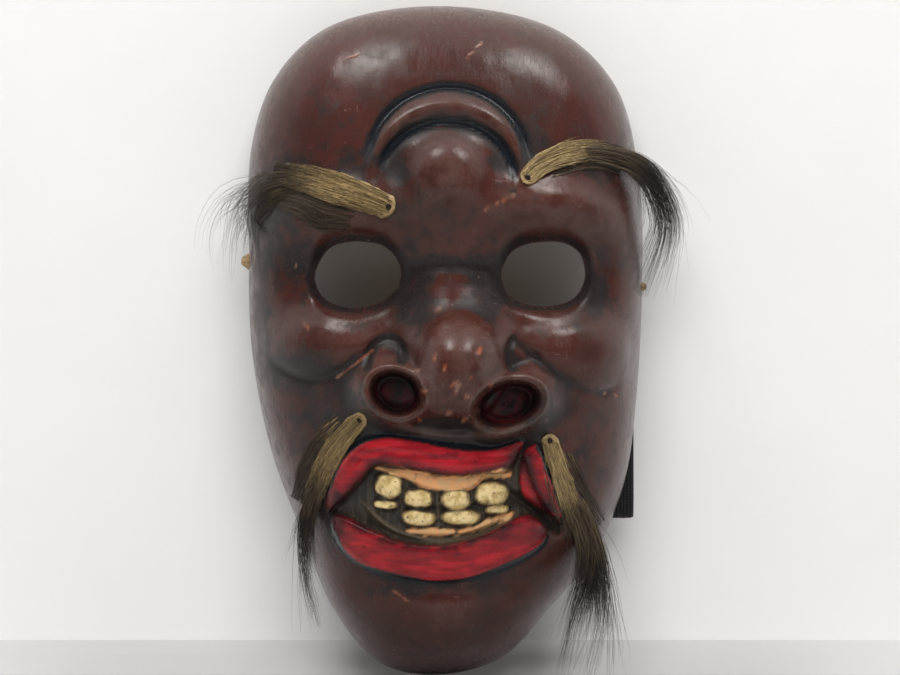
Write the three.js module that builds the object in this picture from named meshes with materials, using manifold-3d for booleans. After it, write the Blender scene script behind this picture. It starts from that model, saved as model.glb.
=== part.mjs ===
// Carved wooden theatre mask with goat-hide brows and moustaches and a black elastic head strap.
// Millimetres. The face looks along -Y and +Z is up the face. The back rim lies in the plane y = 0,
// and the origin is the centre of the back opening. Left and right are as seen from the front.
import * as THREE from "three";
import { mergeVertices } from "three/addons/utils/BufferGeometryUtils.js";
import Module from "manifold-3d";

const wasm = await Module();
wasm.setup();

// ---- Driving dimensions -------------------------------------------------------------------------

const DOME_DEPTH = 58; // from the rim plane to the top of the plain dome
const DOME_POWER = 2.35; // how square the dome's section is
const WALL = 6; // wood left behind the dome
const RIM = 6.5; // width of the flat back rim
const CENTRE = [2, -10]; // x, z of the dome's top
const RAYS = 80; // steps round the shell
const FRONT_RINGS = 32; // steps from the dome's top to the rim, outside
const BACK_RINGS = 9; // and inside
const GAP = 0.35; // clearance between touching pieces

// The rim's outer edge, x and z, from the top of the forehead round by the left side and the chin.
const OUTLINE = [
  [-1, 113],
  [-39, 106],
  [-57, 89],
  [-65, 66],
  [-66, 30],
  [-65, -3],
  [-59, -35],
  [-49, -63],
  [-36, -93],
  [-20, -110],
  [0, -113],
  [20, -107],
  [36, -90],
  [51, -72],
  [61, -48],
  [65, -20],
  [67, 20],
  [66, 55],
  [58, 86],
  [38, 105],
];

// Mounds are raised ovals, or sunk ones if height is negative. A higher flat is more like a table.
const EYES = [
  { at: [-27.8, 21.5], radii: [14.4, 10.7] },
  { at: [32.9, 21.8], radii: [14.4, 10.7] },
];
const SOCKET = { radii: [22, 15], height: -10, flat: 1.3 };
const FACE_MOUNDS = [
  { at: [-35, 42], radii: [24, 9], height: 6, tilt: 0.12 }, // left brow bulge
  { at: [38, 42], radii: [24, 9], height: 6, tilt: -0.12 }, // right brow bulge
  { at: [1, 50], radii: [17, 20], height: 4 }, // glabella
  { at: [-38, 1], radii: [19, 11], height: 6, flat: 1.3 }, // left cheek bag
  { at: [46, -1], radii: [19, 12], height: 6, flat: 1.3 }, // right cheek bag
  { at: [-2, -55], radii: [40, 28], height: 3, flat: 1.5 }, // muzzle
  { at: [0, -80], radii: [24, 4], height: -3 }, // dent over the chin
  { at: [0.5, -91], radii: [17, 12], height: 4 }, // chin ball
];
const KNOB = { at: [1.4, 54], radii: [11, 11], height: 5.5, flat: 2 };
const WRINKLE = { radius: 22.7, width: 3, height: 2.4 }; // the arched ridge over the knob

const NOSE_MOUNDS = [
  { at: [2, 3], radii: [11, 19], height: 13, flat: 1.2 }, // bridge
  { at: [3.6, -10.5], radii: [15, 13.5], height: 24, flat: 1.5 }, // tip
  { at: [-15.5, -16], radii: [13, 12.5], height: 15, flat: 1.5 }, // left wing
  { at: [20.5, -19.5], radii: [14.5, 12.5], height: 15, flat: 1.5, tilt: 0.2 }, // right wing
];
// Ovals cut into the wings: half width, depth and half height.
const NOSTRILS = [
  { at: [-15, -16.7], radii: [7.4, 10, 6.8], tilt: 0 },
  { at: [20.6, -20.2], radii: [9.4, 10, 6.2], tilt: 0.25 },
];

// Carved lines and ridges: routes in x and z, with half widths and heights.
const CHEEK_CREASES = [
  [[-55, -6.5], [-37, -12.2], [-19, -1.6]],
  [[24.7, -1.6], [37.8, -11.3], [51, -16.2], [60.5, -11.3]],
];
const CREASE = { width: 3, height: -3 };
const BROW_CREASE = [[-9.2, 23], [3, 24], [14.9, 23]];
const UPPER_LIP = [
  [-35, -56],
  [-34, -50],
  [-31, -42],
  [-23, -38.2],
  [-10, -37.4],
  [4, -38.6],
  [24, -38.5],
];
const CORNER_LIP = [[28, -36.5], [32.8, -43.6], [35.3, -53]];
const LOWER_LIP = [
  [-32.5, -58.5],
  [-26.8, -65],
  [-15.6, -69.4],
  [-1, -70.7],
  [13, -68.8],
  [26.5, -63],
  [32, -58],
];
const LIPS = [
  { route: UPPER_LIP, half: [4.6, 4.6] },
  { route: CORNER_LIP, half: [3.8, 4.2] },
  { route: LOWER_LIP, half: [5.6, 5] },
];
const MOUTH = { at: [-1, -52], radii: [31, 14], height: -4, flat: 1.6 };
const TEETH = [
  [-17.8, -46.5],
  [-7.5, -49],
  [3.6, -50],
  [15, -48],
  [-18.5, -55.5],
  [-8, -57.5],
  [4, -58],
  [16, -55.5],
];
const TOOTH = [5.2, 3.6, 3.9]; // half width, half depth and half height

// Hide strips: centre lines in x and z from the nailed root to the free end, and half widths.
const HIDE_THICKNESS = 1.2;
const HIDES = {
  brow_hide_left: { route: [[-15.6, 41.8], [-30, 47.5], [-43.4, 51.3], [-54, 53.6]], half: [3.6, 2.2] },
  brow_hide_right: { route: [[25.5, 50.5], [37.6, 58.2], [49, 61.2], [57.5, 60.6]], half: [3, 3.4] },
  moustache_hide_left: {
    route: [[-25.4, -24], [-32, -31.5], [-38.5, -42], [-43, -53.5]],
    half: [3, 2.8],
  },
  moustache_hide_right: {
    route: [[33.4, -30.4], [37, -41.5], [41, -52], [45.8, -62]],
    half: [3, 2.8],
  },
};
const HIDE_STATIONS = 12;
const HIDE_COLUMNS = 4;

// Hair: routes in x, y and z with the half width and half thickness at the thickest point.
const HAIRS = {
  brow_hair_left: {
    route: [[-58, -36, 51], [-66, -27, 47], [-70.5, -19, 38], [-70.5, -15, 25]],
    half: [3, 2.4],
  },
  brow_hair_right: {
    route: [[61.5, -31, 60], [69.5, -25, 54], [74.5, -20, 40], [70.5, -16, 20]],
    half: [3.6, 2.6],
  },
  moustache_hair_left: {
    route: [[-44.5, -44, -58], [-45, -44.5, -66], [-43.5, -44, -76], [-41, -43, -87]],
    half: [4, 2],
  },
  moustache_hair_right: {
    route: [[48.5, -38, -66], [50.5, -37.5, -78], [50.5, -36.5, -94], [46, -36, -112]],
    half: [7, 2.6],
  },
};

// Nails through the hide roots.
const TACK = { head: 1.7, headHeight: 0.9, shank: 0.6, length: 4.6 };
const TACK_STATION = 0.13; // how far along the strip it is driven

// Pegs: both lie on the line that the strap turns about.
const PEG_Y = -8;
const PEG_LEFT_Z = 26.5; // at the outer left wall
const PEG_RIGHT_Z = 18; // at the outer right wall
const WALL_X = 66; // half the width at the pegs
const PEG_RADII = { left: 3.2, right: 2.5 };
const PEG = { head: 5.2, headFrom: 52, headTo: 55.5, tip: 68.2 };

// Strap: a flat band. Each station is its middle, the direction of its width, and its half width.
const BAND_THICKNESS = 1.3;
const BAND_STEPS = 72;
const TAB_X = 56.9;
const TAB_HALF = 6.5;
const BAND_HALF = 12.5;
const BAND = [
  { at: [TAB_X, PEG_Y, 25], across: [0, 1, 0], half: TAB_HALF },
  { at: [TAB_X, PEG_Y, 18.6], across: [0, 1, 0], half: TAB_HALF },
  { at: [56.2, -6.8, 10], across: [0.15, 0.99, 0], half: 8 },
  { at: [54.8, -3.6, 0], across: [0.5, 0.87, 0], half: 10 },
  { at: [53.4, 0.8, -10], across: [0.85, 0.53, 0], half: 12 },
  { at: [52.4, 3.6, -20], across: [0.99, 0.13, 0], half: BAND_HALF },
  { at: [52.2, 4, -30], across: [1, 0, 0], half: BAND_HALF },
  { at: [52.2, 4, -42], across: [1, 0, 0], half: BAND_HALF },
  { at: [52.2, 4, -57], across: [1, 0, 0], half: BAND_HALF },
  { at: [52.2, 5.9, -60.3], across: [1, 0, 0], half: BAND_HALF },
  { at: [52, 7.8, -57], across: [1, 0, 0], half: BAND_HALF },
  { at: [50, 8.4, -46], across: [0.95, 0, 0.31], half: BAND_HALF },
  { at: [40, 8.8, -31], across: [0.72, 0, 0.69], half: BAND_HALF },
  { at: [22, 9.2, -21], across: [0.42, 0, 0.91], half: BAND_HALF },
  { at: [0, 9.6, -15], across: [0.25, 0, 0.97], half: BAND_HALF },
  { at: [-22, 9.4, -10], across: [0.3, 0, 0.95], half: BAND_HALF },
  { at: [-39, 8, -5], across: [0.6, 0, 0.8], half: 12 },
  { at: [-48.6, 4.8, -1], across: [0.86, -0.36, 0.36], half: 11.5 },
  { at: [-53.2, -0.8, 6], across: [0.76, -0.65, 0], half: 10.5 },
  { at: [-55.4, -5.6, 13], across: [0.36, -0.93, 0], half: 8.5 },
  { at: [-56.8, -7.6, 19.4], across: [0.06, -1, 0], half: 7 },
  { at: [-TAB_X, PEG_Y, 25.9], across: [0, -1, 0], half: TAB_HALF },
  { at: [-TAB_X, PEG_Y, 32], across: [0, -1, 0], half: TAB_HALF },
];

// ---- Small helpers ------------------------------------------------------------------------------

const vec = (p) => new THREE.Vector3(p[0], p[1], p[2]);
const smooth = (low, high, v) => THREE.MathUtils.smoothstep(v, low, high);

// A raised oval's height at x, z.
function mound(x, z, { at, radii, height, flat = 1, tilt = 0 }) {
  const dx = x - at[0];
  const dz = z - at[1];
  const u = (dx * Math.cos(tilt) + dz * Math.sin(tilt)) / radii[0];
  const v = (dz * Math.cos(tilt) - dx * Math.sin(tilt)) / radii[1];
  return height * Math.exp(-((u * u + v * v) ** flat));
}

// A smooth curve through a route of x, z points.
function curveThrough(route) {
  const points = route.map(([x, z]) => new THREE.Vector3(x, 0, z));
  return new THREE.CatmullRomCurve3(points, false, "centripetal");
}

// The same as a fine polyline.
function routePoints(route, count = 30) {
  return curveThrough(route).getPoints(count);
}

function distanceTo(points, x, z) {
  return Math.min(...points.map((p) => Math.hypot(p.x - x, p.z - z)));
}

const bell = (distance, width) => Math.exp(-((distance / width) ** 2));

// Several mounds joined so that the highest wins and the joins are soft.
function softMax(heights) {
  const power = 4;
  return heights.reduce((sum, h) => sum + Math.max(h, 0) ** power, 0) ** (1 / power);
}

// A closed body from its vertices and triangles, with its faces turned outwards.
function geometryOf(vertices, triangles) {
  const corners = triangles.map((face) => face.map((index) => vec(vertices[index])));
  const volume = corners.reduce((sum, [a, b, c]) => sum + a.dot(b.clone().cross(c)), 0);
  const outward = volume > 0 ? triangles : triangles.map(([a, b, c]) => [a, c, b]);
  const geometry = new THREE.BufferGeometry();
  geometry.setAttribute("position", new THREE.Float32BufferAttribute(vertices.flat(), 3));
  geometry.setIndex(outward.flat());
  return geometry;
}

// The two triangles of a four-sided face.
const quad = (a, b, c, d) => [
  [a, b, c],
  [a, c, d],
];

function solidOf(geometry) {
  const plain = geometry.clone();
  plain.deleteAttribute("normal");
  plain.deleteAttribute("uv");
  const merged = mergeVertices(plain, 1e-4);
  return new wasm.Manifold(
    new wasm.Mesh({
      numProp: 3,
      vertProperties: new Float32Array(merged.attributes.position.array),
      triVerts: new Uint32Array(merged.index.array),
    }),
  );
}

function geometryFrom(solid) {
  const mesh = solid.getMesh();
  const geometry = new THREE.BufferGeometry();
  geometry.setAttribute("position", new THREE.Float32BufferAttribute(mesh.vertProperties, 3));
  geometry.setIndex(Array.from(mesh.triVerts));
  return geometry;
}

// Turns a shape that stands on +Y to stand on the given direction, and moves its foot to a point.
function aim(geometry, foot, direction) {
  const turn = new THREE.Quaternion().setFromUnitVectors(new THREE.Vector3(0, 1, 0), direction);
  return geometry.applyQuaternion(turn).translate(foot.x, foot.y, foot.z);
}

// ---- The carved face ----------------------------------------------------------------------------

const CREASES = CHEEK_CREASES.map((route) => routePoints(route));
const FROWN = routePoints(BROW_CREASE);

// The arched ridge round the upper side of the forehead knob.
function wrinkle(x, z) {
  const dx = x - KNOB.at[0];
  const dz = z - KNOB.at[1];
  return smooth(-6, 6, dz) * WRINKLE.height * bell(Math.hypot(dx, dz) - WRINKLE.radius, WRINKLE.width);
}

// How far the carving stands out from the plain dome at x, z.
function relief(x, z) {
  const sockets = EYES.map((eye) => mound(x, z, { ...SOCKET, at: eye.at }));
  const plain = [...FACE_MOUNDS, KNOB].reduce((sum, m) => sum + mound(x, z, m), 0);
  const nose = softMax(NOSE_MOUNDS.map((m) => mound(x, z, m)));
  const creases = CREASES.reduce(
    (sum, crease) => sum + CREASE.height * bell(distanceTo(crease, x, z), CREASE.width),
    0,
  );
  const frown = -1.8 * bell(distanceTo(FROWN, x, z), 1.8);
  return sockets[0] + sockets[1] + plain + nose + creases + frown + mound(x, z, MOUTH) + wrinkle(x, z);
}

const outlineCurve = new THREE.CatmullRomCurve3(
  OUTLINE.map(([x, z]) => new THREE.Vector3(x, 0, z)),
  true,
  "centripetal",
);

// The surface of the shell. Ring 0 is the top of the dome and ring 1 the rim. Inside, it is drawn in by RIM,
// and only the eye sockets show in the relief.
function shellPoint(turn, ring, inside) {
  const edge = outlineCurve.getPoint(turn);
  const reach = Math.hypot(edge.x - CENTRE[0], edge.z - CENTRE[1]);
  const scale = inside ? 1 - RIM / reach : 1;
  const angle = (ring * Math.PI) / 2;
  const out = Math.sin(angle) ** (2 / DOME_POWER);
  const x = CENTRE[0] + (edge.x - CENTRE[0]) * scale * out;
  const z = CENTRE[1] + (edge.z - CENTRE[1]) * scale * out;
  const depth = (inside ? DOME_DEPTH - WALL : DOME_DEPTH) * Math.cos(angle) ** (2 / DOME_POWER);
  const carved = inside
    ? EYES.reduce((sum, eye) => sum + mound(x, z, { ...SOCKET, at: eye.at }), 0) * 0.9
    : relief(x, z);
  const fade = 1 - smooth(0.88, 1, out);
  return [x, ring === 1 ? 0 : -(depth + carved * fade), z];
}

// One closed body: the outer rings, the inner rings, and the flat rim between their last ones.
function shellGeometry() {
  const vertices = [];
  const triangles = [];
  const addSide = (rings, inside) => {
    const pole = vertices.length;
    vertices.push(shellPoint(0, 0, inside));
    for (let ring = 1; ring <= rings; ring++) {
      for (let ray = 0; ray < RAYS; ray++) {
        vertices.push(shellPoint(ray / RAYS, ring / rings, inside));
      }
    }
    const at = (ring, ray) => pole + 1 + (ring - 1) * RAYS + (ray % RAYS);
    const faces = [];
    for (let ray = 0; ray < RAYS; ray++) {
      faces.push([pole, at(1, ray), at(1, ray + 1)]);
      for (let ring = 1; ring < rings; ring++) {
        faces.push(...quad(at(ring, ray), at(ring + 1, ray), at(ring + 1, ray + 1), at(ring, ray + 1)));
      }
    }
    triangles.push(...(inside ? faces.map(([a, b, c]) => [a, c, b]) : faces));
    return (ray) => at(rings, ray);
  };
  const outer = addSide(FRONT_RINGS, false);
  const inner = addSide(BACK_RINGS, true);
  for (let ray = 0; ray < RAYS; ray++) {
    triangles.push(...quad(outer(ray), inner(ray), inner(ray + 1), outer(ray + 1)));
  }
  return geometryOf(vertices, triangles);
}

// A straight elliptical plug along Y that opens an eye.
function eyePlug({ at, radii }) {
  const oval = new THREE.Shape().absellipse(0, 0, radii[0], radii[1], 0, 2 * Math.PI);
  const plug = new THREE.ExtrudeGeometry(oval, { depth: 90, bevelEnabled: false, curveSegments: 14 });
  return plug.rotateX(Math.PI / 2).translate(at[0], 5, at[1]);
}

// ---- The strap's line and its pegs --------------------------------------------------------------

const PEG_SLOPE = (PEG_RIGHT_Z - PEG_LEFT_Z) / (2 * WALL_X);
const PEG_LINE = new THREE.Vector3(1, 0, PEG_SLOPE).normalize();
const pegPoint = (x) => new THREE.Vector3(x, PEG_Y, (PEG_LEFT_Z + PEG_RIGHT_Z) / 2 + PEG_SLOPE * x);

// A whittled peg: a head inside the mask, a straight shank, and a wedge tip outside the wall.
function pegGeometry(side, radius) {
  const shank = PEG.headTo - PEG.headFrom;
  const length = PEG.tip - PEG.headFrom;
  const profile = [
    [0, 0],
    [PEG.head - 1, 0],
    [PEG.head, 1],
    [PEG.head, shank],
    [radius, shank],
    [radius, length - 3],
    [radius * 0.35, length],
    [0, length],
  ].map(([r, along]) => new THREE.Vector2(r, along));
  const peg = new THREE.LatheGeometry(profile, 8);
  return aim(peg, pegPoint(side * PEG.headFrom), PEG_LINE.clone().multiplyScalar(side));
}

// A straight bore along the peg line, a clearance wider than the peg's shank.
function pegBore(side, radius) {
  const length = 24;
  const bore = new THREE.CylinderGeometry(radius + GAP, radius + GAP, length, 16);
  const middle = pegPoint(side * (PEG.headTo + length / 2 - 1));
  return aim(bore, middle, PEG_LINE.clone().multiplyScalar(side));
}

// The band: a flat section carried along its stations.
function bandGeometry() {
  const middle = new THREE.CatmullRomCurve3(BAND.map((s) => vec(s.at)), false, "centripetal");
  const across = new THREE.CatmullRomCurve3(BAND.map((s) => vec(s.across)), false, "catmullrom", 0.5);
  const vertices = [];
  const triangles = [];
  for (let step = 0; step <= BAND_STEPS; step++) {
    const t = step / BAND_STEPS;
    const tangent = middle.getTangent(t);
    const wide = across.getPoint(t);
    wide.addScaledVector(tangent, -wide.dot(tangent)).normalize();
    const normal = new THREE.Vector3().crossVectors(tangent, wide);
    const station = t * (BAND.length - 1);
    const before = BAND[Math.floor(station)];
    const after = BAND[Math.ceil(station)];
    const half = THREE.MathUtils.lerp(before.half, after.half, station % 1);
    const corners = [
      [-1, -1],
      [1, -1],
      [1, 1],
      [-1, 1],
    ];
    for (const [w, n] of corners) {
      const corner = middle.getPoint(t);
      corner.addScaledVector(wide, w * half).addScaledVector(normal, (n * BAND_THICKNESS) / 2);
      vertices.push(corner.toArray());
    }
  }
  for (let step = 0; step < BAND_STEPS; step++) {
    for (let side = 0; side < 4; side++) {
      const a = step * 4 + side;
      const b = step * 4 + ((side + 1) % 4);
      triangles.push(...quad(a, a + 4, b + 4, b));
    }
  }
  const last = BAND_STEPS * 4;
  triangles.push(...quad(0, 1, 2, 3));
  triangles.push(...quad(last + 3, last + 2, last + 1, last));
  return geometryOf(vertices, triangles);
}

// ---- Hide, hair and nails -----------------------------------------------------------------------

// Finds the carved surface in front of x, z, and the way it faces.
function surfaceFinder(shellMesh) {
  const ray = new THREE.Raycaster();
  const depthAt = (x, z) => {
    ray.set(new THREE.Vector3(x, -200, z), new THREE.Vector3(0, 1, 0));
    const hit = ray.intersectObject(shellMesh)[0];
    return hit ? hit.point.y : 0;
  };
  return (x, z) => {
    const step = 2;
    const slopeX = (depthAt(x + step, z) - depthAt(x - step, z)) / (2 * step);
    const slopeZ = (depthAt(x, z + step) - depthAt(x, z - step)) / (2 * step);
    const normal = new THREE.Vector3(slopeX, -1, slopeZ).normalize();
    return { point: new THREE.Vector3(x, depthAt(x, z), z), normal };
  };
}

// An oval ball whose middle lies on the carving at x, z.
function ovalGeometry([x, z], radii, tilt, surface) {
  const ball = new THREE.SphereGeometry(1, 14, 8).scale(...radii).rotateY(-tilt);
  return ball.translate(x, surface(x, z).point.y, z);
}

// A strip that lies on the carving with rounded ends.
function hideGeometry({ route, half }, surface) {
  const middle = curveThrough(route);
  const vertices = [];
  const triangles = [];
  for (let station = 0; station <= HIDE_STATIONS; station++) {
    const t = station / HIDE_STATIONS;
    const centre = middle.getPoint(t);
    const along = middle.getTangent(t);
    const rounding = Math.sqrt(Math.min(1, 0.25 + 6 * Math.min(t, 1 - t)));
    const halfWidth = THREE.MathUtils.lerp(half[0], half[1], t) * rounding;
    for (let column = 0; column <= HIDE_COLUMNS; column++) {
      const offset = halfWidth * ((2 * column) / HIDE_COLUMNS - 1);
      const { point, normal } = surface(centre.x - along.z * offset, centre.z + along.x * offset);
      const under = point.clone().addScaledVector(normal, 2 * GAP);
      const over = point.clone().addScaledVector(normal, 2 * GAP + HIDE_THICKNESS);
      vertices.push(under.toArray(), over.toArray());
    }
  }
  const row = HIDE_COLUMNS + 1;
  const under = (station, column) => 2 * (station * row + column);
  const over = (station, column) => under(station, column) + 1;
  for (let s = 0; s < HIDE_STATIONS; s++) {
    for (let c = 0; c < HIDE_COLUMNS; c++) {
      triangles.push(...quad(over(s, c), over(s, c + 1), over(s + 1, c + 1), over(s + 1, c)));
      triangles.push(...quad(under(s, c), under(s + 1, c), under(s + 1, c + 1), under(s, c + 1)));
    }
    const end = HIDE_COLUMNS;
    triangles.push(...quad(under(s, 0), over(s, 0), over(s + 1, 0), under(s + 1, 0)));
    triangles.push(...quad(under(s, end), under(s + 1, end), over(s + 1, end), over(s, end)));
  }
  for (let c = 0; c < HIDE_COLUMNS; c++) {
    const tail = HIDE_STATIONS;
    triangles.push(...quad(under(0, c), under(0, c + 1), over(0, c + 1), over(0, c)));
    triangles.push(...quad(under(tail, c), over(tail, c), over(tail, c + 1), under(tail, c + 1)));
  }
  return geometryOf(vertices, triangles);
}

// A spindle along a route. Its section is an oval: half holds its half width and its half depth.
function spindleGeometry(route, half, steps, sides) {
  const curve = new THREE.CatmullRomCurve3(route.map(vec), false, "centripetal");
  const vertices = [curve.getPoint(0).toArray()];
  const triangles = [];
  for (let step = 1; step < steps; step++) {
    const t = step / steps;
    const centre = curve.getPoint(t);
    const along = curve.getTangent(t);
    const wide = new THREE.Vector3(0, 1, 0).cross(along).normalize();
    const thick = new THREE.Vector3().crossVectors(along, wide);
    const swell = Math.min(1, 2.2 * Math.sin(Math.PI * t)) ** 0.6;
    for (let side = 0; side < sides; side++) {
      const angle = (2 * Math.PI * side) / sides;
      const point = centre.clone().addScaledVector(wide, half[0] * swell * Math.cos(angle));
      point.addScaledVector(thick, half[1] * swell * Math.sin(angle));
      vertices.push(point.toArray());
    }
  }
  vertices.push(curve.getPoint(1).toArray());
  const at = (step, side) => 1 + (step - 1) * sides + (side % sides);
  const tail = vertices.length - 1;
  for (let side = 0; side < sides; side++) {
    triangles.push([0, at(1, side + 1), at(1, side)]);
    triangles.push([tail, at(steps - 1, side), at(steps - 1, side + 1)]);
    for (let step = 1; step < steps - 1; step++) {
      const near = [at(step, side), at(step, side + 1)];
      triangles.push(...quad(...near, at(step + 1, side + 1), at(step + 1, side)));
    }
  }
  return geometryOf(vertices, triangles);
}

// Where a strip's nail stands: on the strip's top face near its root, facing out of the carving.
function tackPlace({ route }, surface) {
  const middle = curveThrough(route);
  const centre = middle.getPoint(TACK_STATION);
  const { point, normal } = surface(centre.x, centre.z);
  return { foot: point.addScaledVector(normal, 4 * GAP + HIDE_THICKNESS), normal };
}

function tackGeometry({ foot, normal }) {
  const profile = [
    [0, -TACK.length],
    [TACK.shank, -TACK.length + 1],
    [TACK.shank, 0],
    [TACK.head, 0],
    [TACK.head * 0.8, TACK.headHeight * 0.6],
    [TACK.head * 0.4, TACK.headHeight * 0.95],
    [0, TACK.headHeight],
  ].map(([r, along]) => new THREE.Vector2(r, along));
  return aim(new THREE.LatheGeometry(profile, 12), foot, normal);
}

function tackBore({ foot, normal }) {
  const length = TACK.length + GAP;
  const radius = TACK.shank + GAP;
  const bore = new THREE.CylinderGeometry(radius, radius, length, 10);
  return aim(bore.translate(0, -length / 2, 0), foot, normal);
}

// ---- Assembly -----------------------------------------------------------------------------------

const WOOD = { color: 0x5c3f38, roughness: 0.42, metalness: 0 };
const HIDE = { color: 0x5e4b38, roughness: 0.85, metalness: 0 };
const HAIR = { color: 0x17120f, roughness: 0.6, metalness: 0 };
const IRON = { color: 0x2b2522, roughness: 0.55, metalness: 0.7 };
const PEG_WOOD = { color: 0xa98a5f, roughness: 0.7, metalness: 0 };
const ELASTIC = { color: 0x252527, roughness: 0.8, metalness: 0 };

const group = new THREE.Group();

function add(name, geometry, look) {
  const flat = geometry.index ? geometry.toNonIndexed() : geometry;
  flat.computeVertexNormals();
  const mesh = new THREE.Mesh(flat, new THREE.MeshStandardMaterial(look));
  mesh.name = name;
  group.add(mesh);
}

function surfaceOf(solid) {
  return surfaceFinder(new THREE.Mesh(geometryFrom(solid), new THREE.MeshBasicMaterial()));
}

let shell = solidOf(shellGeometry());
for (const eye of EYES) {
  shell = shell.subtract(solidOf(eyePlug(eye)));
}
const roughSurface = surfaceOf(shell);

for (const { at, radii, tilt } of NOSTRILS) {
  shell = shell.subtract(solidOf(ovalGeometry(at, radii, tilt, roughSurface)));
}
for (const at of TEETH) {
  shell = shell.add(solidOf(ovalGeometry(at, TOOTH, 0, roughSurface)));
}
for (const { route, half } of LIPS) {
  const lying = route.map(([x, z]) => roughSurface(x, z).point.toArray());
  shell = shell.add(solidOf(spindleGeometry(lying, half, 20, 8)));
}
const surface = surfaceOf(shell);
for (const [name, hide] of Object.entries(HIDES)) {
  const place = tackPlace(hide, surface);
  const bore = solidOf(tackBore(place));
  shell = shell.subtract(bore);
  add(name, geometryFrom(solidOf(hideGeometry(hide, surface)).subtract(bore)), HIDE);
  add(name.replace("hide", "tack"), tackGeometry(place), IRON);
}
for (const [name, { route, half }] of Object.entries(HAIRS)) {
  add(name, spindleGeometry(route, half, 12, 8), HAIR);
}

let band = solidOf(bandGeometry());
for (const [side, sign] of [["left", -1], ["right", 1]]) {
  const radius = PEG_RADII[side];
  const bore = solidOf(pegBore(sign, radius));
  shell = shell.subtract(bore);
  band = band.subtract(bore);
  add(`strap_peg_${side}`, pegGeometry(sign, radius), PEG_WOOD);
}
add("mask_shell", geometryFrom(shell), WOOD);
add("elastic_strap", geometryFrom(band), ELASTIC);

export default group;
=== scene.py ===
import math

import bpy
import numpy as np
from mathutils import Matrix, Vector


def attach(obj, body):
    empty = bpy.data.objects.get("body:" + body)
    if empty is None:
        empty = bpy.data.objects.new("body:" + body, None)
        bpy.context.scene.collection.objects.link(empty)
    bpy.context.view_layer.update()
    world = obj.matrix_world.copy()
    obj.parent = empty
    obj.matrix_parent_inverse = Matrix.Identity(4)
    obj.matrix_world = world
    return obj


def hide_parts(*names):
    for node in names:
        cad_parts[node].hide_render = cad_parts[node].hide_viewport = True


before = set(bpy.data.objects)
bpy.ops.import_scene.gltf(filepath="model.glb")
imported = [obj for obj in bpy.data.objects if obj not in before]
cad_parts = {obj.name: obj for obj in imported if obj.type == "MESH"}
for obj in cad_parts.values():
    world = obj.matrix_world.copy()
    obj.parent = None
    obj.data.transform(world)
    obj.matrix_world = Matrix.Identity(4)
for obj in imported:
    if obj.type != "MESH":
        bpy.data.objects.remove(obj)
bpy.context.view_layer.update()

# Carved wooden theatre mask. Lengths are millimetres unless a name says otherwise. The face looks along -Y,
# +Z is up, y = 0 is the back rim, and left and right are as seen from the front.
MM = 0.001
SEED = 7

# ---- Driving dimensions: the same block of wood as the CAD part ----
DOME_DEPTH = 58.0
DOME_POWER = 2.35
WALL = 6.0
RIM = 6.5
RIM_ROUND = 1.0
CENTRE = (2.0, -10.0)
OUTLINE = (
    (-1, 113), (-39, 106), (-57, 89), (-65, 66), (-66, 30), (-65, -3), (-59, -35), (-49, -63), (-36, -93),
    (-20, -110), (0, -113), (20, -107), (36, -90), (51, -72), (61, -48), (65, -20), (67, 20), (66, 55),
    (58, 86), (38, 105),
)
ROWS = 360
COLUMNS = 240
INNER_STEP = 3  # the inside has one vertex for every three outside

SOCKET = ((22, 15), -10, 1.3)  # the sunk ground round an eye, as a mound
EYE_LEFT = (
    (-42, 21.5), (-39.3, 27.4), (-36.2, 30.4), (-30.8, 31.8), (-24.5, 31.7), (-19.5, 30.4), (-15.5, 26.8),
    (-13.6, 21.5), (-15.9, 15.7), (-20, 12.4), (-25.4, 10.7), (-30.8, 10.5), (-38.2, 13), (-41.4, 17.5),
)
EYE_RIGHT = (
    (18.6, 21.1), (20.1, 25.9), (22.4, 28.9), (26.9, 31), (32.3, 31.8), (38.6, 31.6), (42.4, 30), (44.9, 27.4),
    (46.2, 21.5), (45, 17), (42.6, 13.9), (38.6, 11.8), (33.2, 10.9), (28.6, 11.2), (24.2, 12.3), (20.6, 15),
)
EYE_CENTRES = ((-27.8, 21.5), (32.9, 21.8))
EYE_PLUG = (-75, -20)  # y range of the solid that cuts an eye opening
# Mounds: centre x and z, radii, height, how flat-topped, tilt.
MOUNDS = (
    ((-35, 41), (24, 8.5), 6.5, 1.2, 0.12),  # brow bulges
    ((38, 42), (24, 9), 6.5, 1.2, -0.12),
    ((1, 50), (17, 20), 4, 1, 0),  # between the brows
    ((1.4, 54), (11.5, 11), 5.5, 2, 0),  # knob
    ((-39, -1), (19, 10.5), 6.5, 1.5, 0.05),  # cheek bags
    ((46, -4), (18, 11.5), 7, 1.6, -0.12),
    ((-2, -55), (40, 28), 3, 1.5, 0),  # muzzle
    ((0, -80), (24, 4), -2.5, 1, 0),  # dent over the chin
    ((0.5, -91), (17, 12), 4, 1, 0),  # chin ball
    ((-31, -19), (9, 7), 2.2, 1.3, 0),  # flesh beside the wings
    ((37, -24), (10, 7), 2.2, 1.3, 0),
)
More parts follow.
